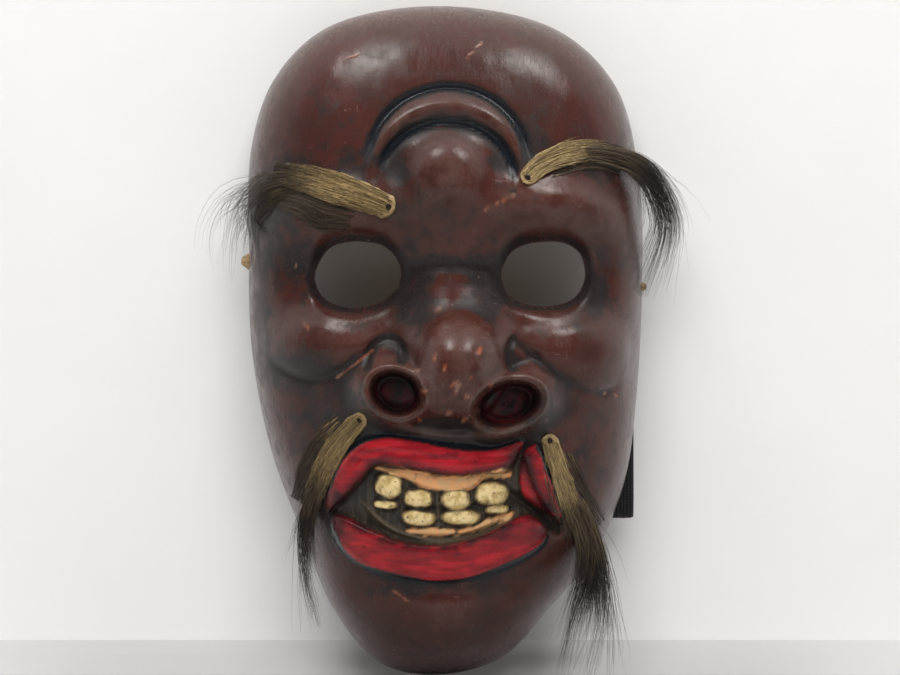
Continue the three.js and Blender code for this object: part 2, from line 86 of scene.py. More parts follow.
# Two arched cuts over the knob, as centre, radii and turns in degrees, and the ridge between them.
ARCH_OUTER = ((1.4, 56.3), (25.7, 25.7), (-3, 183))
ARCH_INNER = ((1.1, 51.5), (21.5, 18.6), (-8, 176))
ARCH_RIDGE = ((1.3, 53.9), (23.6, 22))
ARCH_CUT = 1.9
ARCH_CUT_WIDTH = 1.35
NOSE_Z = (-29, -26, -23, -19, -14, -9, -4, 0, 4, 8, 12, 18, 25, 33)
NOSE_HEIGHT = (3, 8, 15, 20.5, 23, 23.2, 21.9, 18.8, 14, 9, 5.4, 2.6, 0.8, 0)
NOSE_MIDDLE = (2, 2, 2.3, 3, 4, 4.8, 5, 5, 5, 5, 4.5, 3.5, 2.5, 2.5)
NOSE_HALF = (9, 10, 11, 13, 14.5, 15, 14.8, 14.5, 14, 13.6, 14, 15, 16, 16)
NOSE_TOP = (  # the edge of the flat cut round the top of the nose
    (-8.5, -8), (-5.5, -1), (-3, 5), (0, 8), (5.4, 8.9), (10.6, 7.8), (14, 4), (17.5, -3), (21, -10), (15, -22),
    (4, -26), (-5, -22),
)
WINGS = (((-15.2, -16.2), (12.8, 11.4), 14.5, 2, -0.25), ((20.6, -19.5), (14.8, 11), 14.5, 2, 0.25))
NOSTRILS = (((-15.1, -16.8), (9.2, 7.6), -0.42), ((20.4, -20.2), (11.6, 7.7), 0.3))
NOSTRIL_DEPTH = 13
WING_HOOKS = (
    ((-24.5, -8), (-22.5, -2), (-17.5, 0.7), (-13.8, -1.5), (-13.3, -6.3)),
    ((21.8, -8.3), (20.9, -3), (21.8, 0)),
)
CHEEK_FOLDS = (
    ((-60, -4), (-52, -9.5), (-44, -12.5), (-35, -11), (-27, -5.5), (-20.5, -0.8)),
    ((21.8, 0), (27, -3.6), (32.8, -8.3), (44, -15), (52, -17), (59, -13)),
)
FROWN = ((-9.2, 23.4), (3, 24.2), (14.9, 23))
SHELF = ((-14, -26.5), (-8, -28.8), (4, -30), (16, -30), (25, -27.5))
MOUTH = (
    (-37.5, -56), (-32, -51), (-27, -46), (-21.3, -40.2), (-10, -41.4), (0, -43), (11, -43), (21, -41), (25, -37),
    (29, -47), (37, -60.8), (28, -56), (12.5, -62), (-0.5, -65), (-12, -64.5), (-21.3, -61.4), (-34, -56.5),
)
UPPER_LIP = (
    (-38.3, -53.4), (-35.9, -44.7), (-31.6, -37.4), (-25.5, -32.3), (-19.4, -30.5), (-13.3, -31), (-2.8, -32.9),
    (6.8, -34.2), (15.5, -34.5), (25.4, -32.3), (24.1, -35.8), (20.9, -40.6), (11.3, -42.8), (0.1, -42.8),
    (-10.1, -41.2), (-21.3, -40), (-27.4, -45.4), (-32.2, -51), (-37.6, -56),
)
CORNER_LIP = (
    (25.2, -36), (29.6, -33.2), (33.9, -43.6), (38.2, -55.5), (37.4, -58), (33.2, -56.6), (28.4, -53.4),
    (25, -49), (24.2, -42.6),
)
UPPER_LIP_FLUTE = ((-34, -46), (-25, -36.5), (-10, -36), (6, -38), (22, -36.5))
LOWER_LIP = (
    (-36.3, -58.5), (-34.1, -56), (-21.3, -61.4), (-12, -64.5), (-0.5, -65.1), (12.5, -62), (25.4, -56),
    (29.5, -56.5), (33.2, -61.5), (31, -66.5), (21.6, -71.8), (9.4, -75.8), (-2.8, -77.1), (-12, -76.4),
    (-21.3, -74.2), (-28.7, -71.2), (-34.1, -65.5),
)
LIP_HEIGHT = 3.5
LIP_ROUNDING = (4.2, 5.0, 3.4)  # upper, lower and corner lip
MOUTH_DEPTH = 3.0
GUM_HEIGHT = 1.7
TOOTH_HEIGHT = 3.2
TOOTH_BORDER = 0.9  # wood beyond the cream patch
UPPER_GUM = (
    (-22.5, -40.8), (-12.7, -44.1), (-7.2, -46.7), (-1.6, -48), (9.4, -47), (13.1, -44.6), (21.8, -43.8),
    (20.9, -41), (11.3, -43), (0.1, -43), (-10.1, -41.4),
)
LOWER_GUM = (
    (-12.5, -60.8), (-2.8, -59.8), (6.5, -60), (13.1, -57.8), (21.6, -55.2), (22, -56.6), (13.5, -60),
    (6.8, -61.9), (-2.8, -62.6), (-10, -61.9),
)
TEETH = (  # centre and half sizes of the cream patch
    ((-17.6, -46.6), (4.2, 3.7)), ((-8, -50.4), (4.6, 2.8)), ((3.9, -50.8), (4.5, 3)), ((15.3, -49), (5.2, 3.5)),
    ((-18.6, -52.6), (3.6, 1.2)), ((-8, -56.7), (5.2, 2.4)), ((5.6, -56.4), (5.8, 2.3)), ((17.2, -54), (3.6, 1.3)),
)
BITE = ((-23, -51.5), (-12, -53.4), (4, -53.6), (20.9, -51.5))
LOWER_RIDGE = ((-27.8, -49.9), (-18.7, -59.1), (-9.5, -62.9), (2.6, -64), (16.4, -60.6), (25.5, -53.7))
LIP_SHADE = (
    ((-36, -51), (5, 6.5), 1.0), ((24, -37), (5, 4.5), 0.8), ((-34, -60), (4.5, 4), 0.8), ((33, -54), (3.5, 5), 0.8),
    ((32, -62), (5, 4), 0.6), ((-14, -69), (9, 3), 0.35), ((20, -62), (9, 4), 0.45), ((-28, -37), (4, 3), 0.4),
    ((-17, -42), (8, 2), 0.6), ((-14, -75), (8, 1.6), 0.5),
)
CORNER_CREASE = ((20.9, -49.1), (28, -54), (36.9, -60.8))
# Top of the upper lip, outer edge of the lower lip and of the corner: painted black.
LIP_LINES = (
    ((-38, -50), (-35.9, -44.2), (-31.6, -36.9), (-25.5, -31.8), (-19.4, -30), (-13.3, -30.5), (-2.8, -32.4),
     (6.8, -33.8), (15.5, -34), (26, -31.5)),
    ((-36, -60), (-34.4, -65.9), (-28.9, -71.7), (-21.3, -74.8), (-12, -77), (-2.8, -77.7), (9.4, -76.4),
     (21.8, -72.4), (31.4, -66.9), (34.5, -62)),
    ((29.8, -32.8), (34.4, -43.4), (38.2, -54.2)),
)
# Dark patches on the paint: soot and old dirt, and painted shadow, as beside the left brow's fur and under the nose.
SOOT_AND_SHADE = (
    ((-54, 44), (12, 17), 0.85), ((-46, -9), (13, 7), 0.9), ((-44, -30), (11, 15), 0.55), ((49, 15), (5, 6), 1.0),
    ((3, 23.5), (12, 3.4), 0.9), ((-29, -24), (8, 9), 0.7), ((31, -22), (7, 8), 0.6), ((-17, 46), (12, 10), 0.35),
    ((3, 36), (18, 10), 0.35), ((53, 60), (9, 5), 0.6), ((-38, 76), (12, 9), 0.25), ((2, -27), (24, 4), 0.6),
    ((30, -46), (5, 16), 0.5), ((-37, -58), (6, 10), 0.8), ((30, 62), (6, 10), 0.5), ((45, -38), (8, 18), 0.35),
    ((22, 97), (6, 5), 0.3), ((-28, 5), (14, 3.5), 0.35), ((40, 4), (14, 3.5), 0.4), ((-60, 10), (5, 22), 0.6),
)
# Spots where the paint has gone: light, orange-pink ground shows.
CHIPS = (
    (10.8, -3.5, 1.1), (-6, -15.6, 0.9), (4.2, -14.5, 1.3), (7.4, -17.5, 1), (1.2, -18.8, 0.8), (14.6, -14, 0.7),
    (-8, -9.6, 1), (11, -22.5, 0.7), (0.4, -9.4, 0.6), (-7.6, -25, 0.7), (6.4, -25.2, 0.9), (-48, 24, 0.7),
    (56.4, -18.2, 0.8), (52.4, -17.2, 0.6), (2, -22.6, 0.9), (8.8, -11.6, 0.6), (-3, -5.4, 0.7),
)
SCRATCHES = (
    ((7.5, 92), (12.5, 97.5)), ((-34, -12), (-22.5, -3.2)), ((-2, 9.5), (1.5, 8.6)), ((-34, 92), (-28, 93.5)),
    ((13, 41.5), (23, 46.5)), ((-16, -81), (-12, -84)), ((-45, 6), (-43.5, 4)), ((-3, 69), (4, 70)),
)


# ---- Shape helpers ----
def smoothstep(low, high, value):
    t = np.clip((value - low) / (high - low), 0, 1)
    return t * t * (3 - 2 * t)


def oval(x, z, at, radii, tilt=0.0):
    """Distance from an oval's middle, 1 on its edge."""
    dx, dz = x - at[0], z - at[1]
    u = (dx * math.cos(tilt) + dz * math.sin(tilt)) / radii[0]
    v = (dz * math.cos(tilt) - dx * math.sin(tilt)) / radii[1]
    return np.hypot(u, v)


def mound(x, z, at, radii, height, flat=1.0, tilt=0.0):
    return height * np.exp(-(oval(x, z, at, radii, tilt) ** (2 * flat)))


def spline(points, steps=12, closed=False):
    """A centripetal Catmull-Rom curve through the points."""
    p = np.array(points, float)
    n = len(p)
    t = np.linspace(0, 1, steps, endpoint=False)[:, None]
    parts = []
    for i in range(n if closed else n - 1):
        b, c = p[i], p[(i + 1) % n]
        a = p[i - 1] if closed or i > 0 else 2 * b - c
        d = p[(i + 2) % n] if closed or i + 2 < n else 2 * c - b
        chords = ((b, a), (c, b), (d, c))
        before, span, after = (math.sqrt(max(np.linalg.norm(q - r), 1e-6)) for q, r in chords)
        leave = ((b - a) / before - (c - a) / (before + span) + (c - b) / span) * span
        arrive = ((c - b) / span - (d - b) / (span + after) + (d - c) / after) * span
        parts.append(
            (2 * t**3 - 3 * t**2 + 1) * b + (t**3 - 2 * t**2 + t) * leave
            + (3 * t**2 - 2 * t**3) * c + (t**3 - t**2) * arrive
        )
    if not closed:
        parts.append(p[-1:])
    return np.concatenate(parts)


def line_distance(x, z, route, steps=8):
    """Distance to a curve, and how far along it (0 to 1) the nearest place is."""
    line = spline(route, steps) if steps > 1 else np.array(route, float)
    best = np.full(np.shape(x), 1e3)
    along = np.zeros(np.shape(x))
    spans = len(line) - 1
    for i in range(spans):
        (x0, z0), (x1, z1) = line[i], line[i + 1]
        ex, ez = x1 - x0, z1 - z0
        t = np.clip(((x - x0) * ex + (z - z0) * ez) / (ex * ex + ez * ez + 1e-9), 0, 1)
        d = np.hypot(x - x0 - t * ex, z - z0 - t * ez)
        nearer = d < best
        best = np.where(nearer, d, best)
        along = np.where(nearer, (i + t) / spans, along)
    return best, along


def loop_distance(x, z, points, reach=8.0):
    """Distance to a closed curve, positive inside it, found within reach of it."""
    loop = spline(points, 5, closed=True)
    low, high = loop.min(0) - reach, loop.max(0) + reach
    near = (x > low[0]) & (x < high[0]) & (z > low[1]) & (z < high[1])
    px, pz = x[near], z[near]
    best = np.full(px.shape, reach)
    inside = np.zeros(px.shape, bool)
    for (x0, z0), (x1, z1) in zip(loop, np.roll(loop, -1, axis=0)):
        ex, ez = x1 - x0, z1 - z0
        t = np.clip(((px - x0) * ex + (pz - z0) * ez) / (ex * ex + ez * ez + 1e-9), 0, 1)
        best = np.minimum(best, np.hypot(px - x0 - t * ex, pz - z0 - t * ez))
        crossing = (z0 > pz) != (z1 > pz)
        inside ^= crossing & (px < ex * (pz - z0) / (ez if abs(ez) > 1e-9 else 1e-9) + x0)
    result = np.full(np.shape(x), -reach)
    result[near] = np.where(inside, best, -best)
    return result


def waves(x, z, size, seed):
    """Smooth, irregular waviness between about -1 and 1, with hollows about size across."""
    rng = np.random.default_rng(seed)
    total = np.zeros(np.shape(x))
    count = 9
    for _ in range(count):
        angle, phase = rng.uniform(0, math.tau, 2)
        k = math.tau / (size * rng.uniform(0.7, 1.6))
        total += np.sin((x * math.cos(angle) + z * math.sin(angle)) * k + phase)
    return total / math.sqrt(count)


def bell(distance, width):
    return np.exp(-((distance / width) ** 2))


def unit(vectors):
    return vectors / np.maximum(np.linalg.norm(vectors, axis=-1, keepdims=True), 1e-9)


def arch(shape):
    (cx, cz), (rx, rz), (start, end) = shape
    turns = np.radians(np.linspace(start, end, 40))
    return np.stack([cx + rx * np.cos(turns), cz + rz * np.sin(turns)], axis=1)


# ---- The carved face ----
FAR = 9.0  # stands for no line near

outline_curve = spline(OUTLINE, 40, closed=True) - np.array(CENTRE)
outline_turn = np.arctan2(outline_curve[:, 1], outline_curve[:, 0])
outline_order = np.argsort(outline_turn)
outline_turn = outline_turn[outline_order]
outline_reach = np.hypot(outline_curve[:, 0], outline_curve[:, 1])[outline_order]


def reach_at(turn):
    return np.interp(turn, outline_turn, outline_reach, period=math.tau)


def end_taper(along, gain, least=0.0):
    """1 along a line, falling towards its two ends."""
    return np.clip(np.minimum(along, 1 - along) * gain, least, 1)


def spots(x, z, table):
    """Soft ovals: centre, radii and strength of each."""
    return sum(weight * bell(oval(x, z, at, radii), 1) for at, radii, weight in table)


def carve_forehead(x, z):
    """The ridge and the two arched cuts: relief, black line, and soot with painted shade beside the cuts."""
    outer, outer_along = line_distance(x, z, arch(ARCH_OUTER), 1)
    inner, inner_along = line_distance(x, z, arch(ARCH_INNER), 1)
    outer_taper, inner_taper = end_taper(outer_along, 9, 0.12), end_taper(inner_along, 9, 0.12)
    height = 2.3 * smoothstep(-6, 8, z - 50) * bell(oval(x, z, *ARCH_RIDGE) - 1, 0.13)
    for distance, taper in ((outer, outer_taper), (inner, inner_taper)):
        height = height - ARCH_CUT * taper * bell(distance, ARCH_CUT_WIDTH)
    line = np.maximum(outer_taper * smoothstep(1.7, 0.9, outer), inner_taper * smoothstep(1.9, 1.0, inner))
    soot_and_shade = 0.9 * bell(inner - 1, 1.6) * inner_taper + 0.7 * bell(outer - 1, 1.6) * outer_taper
    return height, line, soot_and_shade


def carve_nose(x, z):
    """The nose with its wings, nostrils and hooks: relief, nostril paint, worn rims and the hooks' distance."""
    middle, half, body = (np.interp(z, NOSE_Z, row) for row in (NOSE_MIDDLE, NOSE_HALF, NOSE_HEIGHT))
    ridge = body * np.exp(-(np.abs((x - middle) / half) ** 2.6))
    left, right = (np.maximum(mound(x, z, *wing), 0) for wing in WINGS)
    height = (ridge**4 + left**4 + right**4) ** 0.25
    height = height + 1.3 * smoothstep(-0.9, 1.5, loop_distance(x, z, NOSE_TOP))
    nostril, rim = np.zeros(np.shape(x)), np.zeros(np.shape(x))
    for at, radii, tilt in NOSTRILS:
        e = oval(x, z, at, radii, tilt)
        height = height - NOSTRIL_DEPTH * (1 - smoothstep(0.66, 1.0, e)) + 1.1 * bell(e - 1.13, 0.09)
        nostril = np.maximum(nostril, 1 - smoothstep(0.72, 0.92, e))
        rim = np.maximum(rim, bell(e - 1.12, 0.035))
    hooks = np.full(np.shape(x), FAR)
    for route in WING_HOOKS:
        hooks = np.minimum(hooks, line_distance(x, z, route)[0])
    return height - 1.7 * bell(hooks, 1.3), nostril, rim, hooks


def carve_folds(x, z):
    """Cheek folds, frown and the shelf under the nose: relief, and the folds' and the shelf's distance."""
    height, folds = np.zeros(np.shape(x)), np.full(np.shape(x), FAR)
    for route in CHEEK_FOLDS:
        d, along = line_distance(x, z, route)
        taper = np.clip((1 - along) * 5, 0, 1) * np.clip(along * 6, 0.2, 1)
        height = height - 1.3 * taper * bell(d, 1.6)
        folds = np.minimum(folds, d / np.maximum(taper, 0.2))
    frown = line_distance(x, z, FROWN)[0]
    shelf, shelf_along = line_distance(x, z, SHELF)
    height = height - 1.1 * bell(frown, 2.4) + 1.5 * bell(shelf, 1.3) * end_taper(shelf_along, 6)
    return height, folds, shelf


def carve_teeth(x, z):
    """Relief of the teeth, and their cream patches."""
    height, cream = np.zeros(np.shape(x)), np.zeros(np.shape(x))
    for i, (at, half) in enumerate(TEETH):
        e = oval(x, z, at, (half[0] + TOOTH_BORDER, half[1] + TOOTH_BORDER), 0.1 * math.sin(2.7 * i))
        height = height + TOOTH_HEIGHT * np.sqrt(np.clip(1 - e**3.2, 0, 1))
        px, pz = np.abs((x - at[0]) / half[0]), np.abs((z - at[1]) / half[1])
        patch = (px**2.8 + pz**2.8) ** (1 / 2.8) + 0.07 * waves(x, z, 4.5, 40 + i)
        cream = np.maximum(cream, 1 - smoothstep(0.78, 1.14, patch))
    return height, cream


def lip_lines(x, z):
    """The black lines painted round the lips, 1 on a line."""
    nearest = np.full(np.shape(x), FAR)
    for route, width in zip(LIP_LINES, (1.2, 1.5, 1.3)):
        d, along = line_distance(x, z, route)
        thick = width * (0.75 + 0.25 * np.sin(along * 17 + 1)) * end_taper(along, 14, 0.3)
        nearest = np.minimum(nearest, d / thick)
    return 1 - smoothstep(0.75, 1.15, nearest)


def carve_mouth(x, z):
    """The sunk mouth with the lips, gums and teeth that stand in it: relief and paints."""
    opening = loop_distance(x, z, MOUTH)
    height = -MOUTH_DEPTH * smoothstep(-0.8, 1.2, opening)
    lips = [loop_distance(x, z, loop) for loop in (UPPER_LIP, LOWER_LIP, CORNER_LIP)]
    for d, width in zip(lips, LIP_ROUNDING):
        rounded = 1 - (1 - np.clip((d + 0.4) / width, 0, 1)) ** 2
        height = height + LIP_HEIGHT * np.sqrt(np.clip(rounded, 0, 1))
    flute = line_distance(x, z, UPPER_LIP_FLUTE)[0]
    height = height - 0.45 * bell(flute, 0.8) * (lips[0] > 0)
    gum = np.maximum(loop_distance(x, z, UPPER_GUM), loop_distance(x, z, LOWER_GUM))
    tooth_height, tooth = carve_teeth(x, z)
    height = height + GUM_HEIGHT * smoothstep(-0.6, 1.0, gum) + tooth_height
    height = height - 0.8 * bell(line_distance(x, z, BITE)[0], 0.6)
    ridge, ridge_along = line_distance(x, z, LOWER_RIDGE)
    ridge = bell(ridge, 1.0) * end_taper(ridge_along, 8)
    height = height + 1.3 * ridge * (tooth < 0.5)
    crease, crease_along = line_distance(x, z, CORNER_CREASE)
    height = height - 3.2 * bell(crease, 1.2 + 0.8 * crease_along)

    painted_edge = lip_lines(x, z)
    lip = smoothstep(-0.15, 0.35, np.max(lips, axis=0)) * (1 - painted_edge)
    gum = smoothstep(-0.2, 0.35, gum + 0.3 * waves(x, z, 3, 9))
    dark_mouth_and_crease_shade = smoothstep(-0.3, 0.5, opening) * (1 - lip) * (1 - gum) * (1 - tooth)
    paints = {
        "lip": lip, "gum": gum, "tooth": tooth, "line": painted_edge,
        # The crease at the right corner of the mouth is darkened with it: painted shade
        "dark_mouth_and_crease_shade": np.clip(np.maximum(dark_mouth_and_crease_shade, bell(crease, 1.3)), 0, 1),
        "inner_lip": bell(opening + 0.4, 2.6),
        "lip_shade": np.clip(spots(x, z, LIP_SHADE), 0, 1),
        "ridge": np.clip(ridge + 0.8 * bell(np.abs(tooth - 0.35), 0.22) * (opening > 0), 0, 1),
    }
    return height + 0.25 * painted_edge, paints, lips[0]


def chipped(x, z):
    """Where the paint has come off, in spots and scratches."""
    chip = np.zeros(np.shape(x))
    for cx, cz, size in CHIPS:
        blot = np.hypot(x - cx, z - cz) / size + 0.35 * waves(x, z, 1.7, 21)
        chip = np.maximum(chip, 1 - smoothstep(0.6, 1.1, blot))
    for ends in SCRATCHES:
        d = line_distance(x, z, ends, 1)[0] + 0.15 * waves(x, z, 3, 12)
        chip = np.maximum(chip, 0.8 * (1 - smoothstep(0.1, 0.5, d)))
    return chip


def carve(x, z):
    """How far the carving stands out from the plain dome, and where each paint lies."""
    height = sum(mound(x, z, *m) for m in MOUNDS)
    height = height + sum(mound(x, z, centre, *SOCKET) for centre in EYE_CENTRES)
    eye_edge = np.maximum(loop_distance(x, z, EYE_LEFT), loop_distance(x, z, EYE_RIGHT))
    height = height + 0.9 * bell(eye_edge + 3.6, 2) - 1.4 * smoothstep(-2.6, 0.4, eye_edge)
    forehead, arch_line, arch_soot_and_shade = carve_forehead(x, z)
    nose, nostril, rim, hooks = carve_nose(x, z)
    creases, folds, shelf = carve_folds(x, z)
    mouth, masks, upper = carve_mouth(x, z)
    knife_marks = 0.22 * waves(x, z, 26, 3) + 0.05 * waves(x, z, 7, 4)
    height = height + forehead + nose + creases + mouth + knife_marks

    # Darker in the listed patches, beside the arched cuts, along the wing hooks and folds, round the eye openings and
    # over the upper lip: soot and dirt, and painted shade in these creases and recesses.
    soot_and_shade = spots(x, z, SOOT_AND_SHADE) + arch_soot_and_shade
    soot_and_shade = soot_and_shade + 0.9 * bell(hooks, 1.7) + 0.15 * bell(folds, 1.6) + 0.55 * bell(eye_edge, 2.2)
    over_lip = bell(np.maximum(-upper, 0) + 5 * (upper > 0), 3) * (z > -36)
    masks["soot_and_shade"] = np.clip(soot_and_shade + 0.55 * over_lip, 0, 1.2)
    masks["line"] = np.maximum(arch_line, masks["line"])
    masks["nostril"] = nostril
    masks["chip"] = chipped(x, z)
    # Worn: rubbed nostril rims, and a painted highlight along the shelf under the nose.
    masks["worn"] = np.clip(0.8 * rim + 0.7 * bell(shelf - 0.2, 1.1), 0, 1)
    return height, masks


def front_y(x, z):
    """The front surface's y at x, z, for anything that lies on it."""
    x, z = np.asarray(x, float), np.asarray(z, float)
    dx, dz = x - CENTRE[0], z - CENTRE[1]
    out = np.clip(np.hypot(dx, dz) / reach_at(np.arctan2(dz, dx)), 0, 1)
    depth = DOME_DEPTH * (1 - out**DOME_POWER) ** (1 / DOME_POWER)
    height, _ = carve(x, z)
    return -(depth + height * (1 - smoothstep(0.88, 1, out))), out


# ---- Mesh helpers ----
def build_mesh(name, points, quads=(), triangles=(), attributes=None):
    mesh = bpy.data.meshes.new(name)
    mesh.vertices.add(len(points))
    mesh.vertices.foreach_set("co", (np.asarray(points, float) * MM).ravel())
    groups = [np.asarray(f, int).reshape(-1, c) for f, c in ((quads, 4), (triangles, 3)) if len(f)]
    corners = np.concatenate([f.ravel() for f in groups])
    sizes = np.concatenate([np.full(len(f), f.shape[1]) for f in groups])
    mesh.loops.add(len(corners))
    mesh.loops.foreach_set("vertex_index", corners)
    mesh.polygons.add(len(sizes))
    mesh.polygons.foreach_set("loop_start", np.concatenate([[0], np.cumsum(sizes)[:-1]]))
    mesh.polygons.foreach_set("use_smooth", np.ones(len(sizes), bool))
    for key, values in (attributes or {}).items():
        layer = mesh.attributes.new(key, "FLOAT", "POINT").data
        layer.foreach_set("value", np.asarray(values, np.float32).ravel())
    mesh.update(calc_edges=True)
    mesh.validate()
    return mesh


def add_object(name, mesh):
    made = bpy.data.objects.new(name, mesh)
    bpy.context.scene.collection.objects.link(made)
    return made


def grid_quads(rows, columns, first=0, flip=False):
    """Faces of a rows by columns grid of vertices."""
    index = first + np.arange(rows * columns).reshape(rows, columns)
    a, b, c, d = index[:-1, :-1], index[:-1, 1:], index[1:, 1:], index[1:, :-1]
    faces = np.stack([a, d, c, b] if flip else [a, b, c, d], axis=-1)
    return faces.reshape(-1, 4)


def cut(target, tools):
    """Cuts each tool's shape out of the target, and removes the tools."""
    for tool in tools:
        modifier = target.modifiers.new("cut", "BOOLEAN")
        modifier.operation = "DIFFERENCE"
        modifier.solver = "MANIFOLD"
        modifier.object = tool
    dg = bpy.context.evaluated_depsgraph_get()
    result = bpy.data.meshes.new_from_object(target.evaluated_get(dg))
    target.modifiers.clear()
    old, target.data = target.data, result
    bpy.data.meshes.remove(old)
    for tool in tools:
        bpy.data.objects.remove(tool)


def prism(name, loop, y_low, y_high):
    """A closed plug with the loop's outline, from y_low to y_high."""
    n = len(loop)
    points = [(x, y, z) for y in (y_low, y_high) for x, z in loop]
    quads = [(i, (i + 1) % n, n + (i + 1) % n, n + i) for i in range(n)]
    middle = np.mean(loop, axis=0)
    points += [(middle[0], y, middle[1]) for y in (y_low, y_high)]
    triangles = [(2 * n, (i + 1) % n, i) for i in range(n)]
    triangles += [(2 * n + 1, n + i, n + (i + 1) % n) for i in range(n)]
    return add_object(name, build_mesh(name, points, quads, triangles))


def facing_out(mesh):
    """Turns all faces over if the closed mesh is inside out."""
    mesh.calc_loop_triangles()
    co = np.zeros(len(mesh.vertices) * 3)
    mesh.vertices.foreach_get("co", co)
    co = co.reshape(-1, 3)
    tri = np.zeros(len(mesh.loop_triangles) * 3, int)
    mesh.loop_triangles.foreach_get("vertices", tri)
    a, b, c = (co[tri.reshape(-1, 3)[:, k]] for k in range(3))
    if np.einsum("ij,ij->i", a, np.cross(b, c)).sum() < 0:
        mesh.flip_normals()
    return mesh


# ---- The shell ----
def spaced(count, focus, width, gain):
    """Numbers from -1 to 1, closer together round the focus."""
    fine = np.linspace(-1, 1, 2001)
    weight = np.cumsum(1 + gain * bell(fine - focus, width))
    weight = (weight - weight[0]) / (weight[-1] - weight[0])
    return np.interp(np.linspace(0, 1, count + 1), weight, fine)


def soften(values, reach, times=3):
    """Averages a grid of values over 2 * reach + 1 cells each way."""
    for _ in range(times):
        for axis in (0, 1):
            pad = [(reach + 1, reach) if a == axis else (0, 0) for a in (0, 1)]
            total = np.cumsum(np.pad(values, pad, mode="edge"), axis=axis)
            total = np.moveaxis(total, axis, 0)
            cells = 2 * reach + 1
            values = np.moveaxis((total[cells:] - total[:-cells]) / cells, 0, axis)
    return values


def border(rows, columns):
    """Grid vertices round the edge, in order."""
    index = np.arange(rows * columns).reshape(rows, columns)
    return np.concatenate([index[0, :-1], index[:-1, -1], index[-1, :0:-1], index[:0:-1, 0]])


def dome_points(u, v, inside):
    a = u * np.sqrt(1 - v * v / 2)
    b = v * np.sqrt(1 - u * u / 2)
    ring = np.clip(np.hypot(a, b), 0, 1)
    turn = np.arctan2(b, a)
    reach = reach_at(turn) - (RIM if inside else 0)
    angle = ring * math.pi / 2
    out = np.sin(angle) ** (2 / DOME_POWER)
    depth = np.maximum(np.cos(angle), 0) ** (2 / DOME_POWER) * (DOME_DEPTH - (WALL if inside else 0))
    x = CENTRE[0] + np.cos(turn) * reach * out
    z = CENTRE[1] + np.sin(turn) * reach * out
    fade = 1 - smoothstep(0.88, 1, out)
    return x, z, depth, fade, turn, out


def outside(u, v):
    """The carved front, with its rim's edge rounded, and its paint masks."""
    x, z, depth, fade, turn, out = dome_points(u, v, False)
    height, masks = carve(x, z)
    depth = depth + height * fade
    under = RIM_ROUND**2 - np.clip(RIM_ROUND - depth, 0, RIM_ROUND) ** 2
    lift = RIM_ROUND - np.sqrt(np.clip(under, 0, None))
    hollow = soften(height, 5) - height
    masks["crevice"] = np.clip(hollow / 1.6, 0, 1)
    masks["crest"] = np.clip(-hollow / 1.3, 0, 1)
    masks["bare"] = smoothstep(2.2, 0.6, depth) * (out > 0.9)
    masks["wall"] = smoothstep(0.86, 0.99, out)
    return np.stack([x - np.cos(turn) * lift, -depth, z - np.sin(turn) * lift], axis=-1).reshape(-1, 3), masks


def hollow_side(u, v):
    """The hollow behind, with its gouge marks."""
    x, z, depth, fade, turn, _ = dome_points(u, v, True)
    sockets = sum(mound(x, z, centre, *SOCKET) for centre in EYE_CENTRES) * 0.9
    gouges = 0.45 * np.abs(np.sin(turn * 15 + 1.5 * waves(x, z, 30, 6))) * waves(x, z, 12, 8)
    return np.stack([x, -(depth + (sockets + gouges) * fade), z], axis=-1).reshape(-1, 3)


def rim_faces(ring, ring_i):
    """Triangles between the outer edge and the inner one, which has fewer vertices."""
    strip = []
    for j, here in enumerate(ring_i):
        o = [ring[(INNER_STEP * j + s) % len(ring)] for s in range(INNER_STEP + 1)]
        there = ring_i[(j + 1) % len(ring_i)]
        strip += [(here, o[1], o[0]), (here, o[2], o[1]), (here, there, o[2]), (there, o[3], o[2])]
    return strip


def flat_tunnels(shell):
    """Smooth shading on all faces but the straight walls of the eye openings."""
    polygons = shell.data.polygons
    centres, normals = np.zeros(len(polygons) * 3), np.zeros(len(polygons) * 3)
    polygons.foreach_get("center", centres)
    polygons.foreach_get("normal", normals)
    centres, normals = centres.reshape(-1, 3) / MM, normals.reshape(-1, 3)
    x, z = centres[:, 0], centres[:, 2]
    beside = [np.abs(loop_distance(x, z, eye)) < 0.25 for eye in (EYE_LEFT, EYE_RIGHT)]
    tunnel = (beside[0] | beside[1]) & (np.abs(normals[:, 1]) < 0.02)
    polygons.foreach_set("use_smooth", ~tunnel)


def make_shell():
    v_steps = spaced(ROWS, -0.23, 0.22, 1.5)
    u_steps = spaced(COLUMNS, 0.02, 0.4, 1.0)
    u, v = np.meshgrid(u_steps, v_steps)
    outer, masks = outside(u, v)
    u_inner, v_inner = np.meshgrid(u_steps[::INNER_STEP], v_steps[::INNER_STEP])
    inner = hollow_side(u_inner, v_inner)
    first = len(outer)
    quads = np.concatenate([grid_quads(*v.shape), grid_quads(*v_inner.shape, first, flip=True)])
    strip = rim_faces(border(*v.shape), border(*v_inner.shape) + first)
    attributes = {k: np.concatenate([m.ravel(), np.zeros(len(inner))]) for k, m in masks.items()}
    attributes["bare"][first:] = 1
    attributes["hollow"] = np.concatenate([np.zeros(first), np.ones(len(inner))])
    mesh = facing_out(build_mesh("shell", np.concatenate([outer, inner]), quads, strip, attributes))
    shell = add_object("shell", mesh)
    plugs = [prism("plug", spline(eye, 6, closed=True), *EYE_PLUG) for eye in (EYE_LEFT, EYE_RIGHT)]
    for plug in plugs:
        facing_out(plug.data)
    cut(shell, plugs)
    flat_tunnels(shell)
    return shell


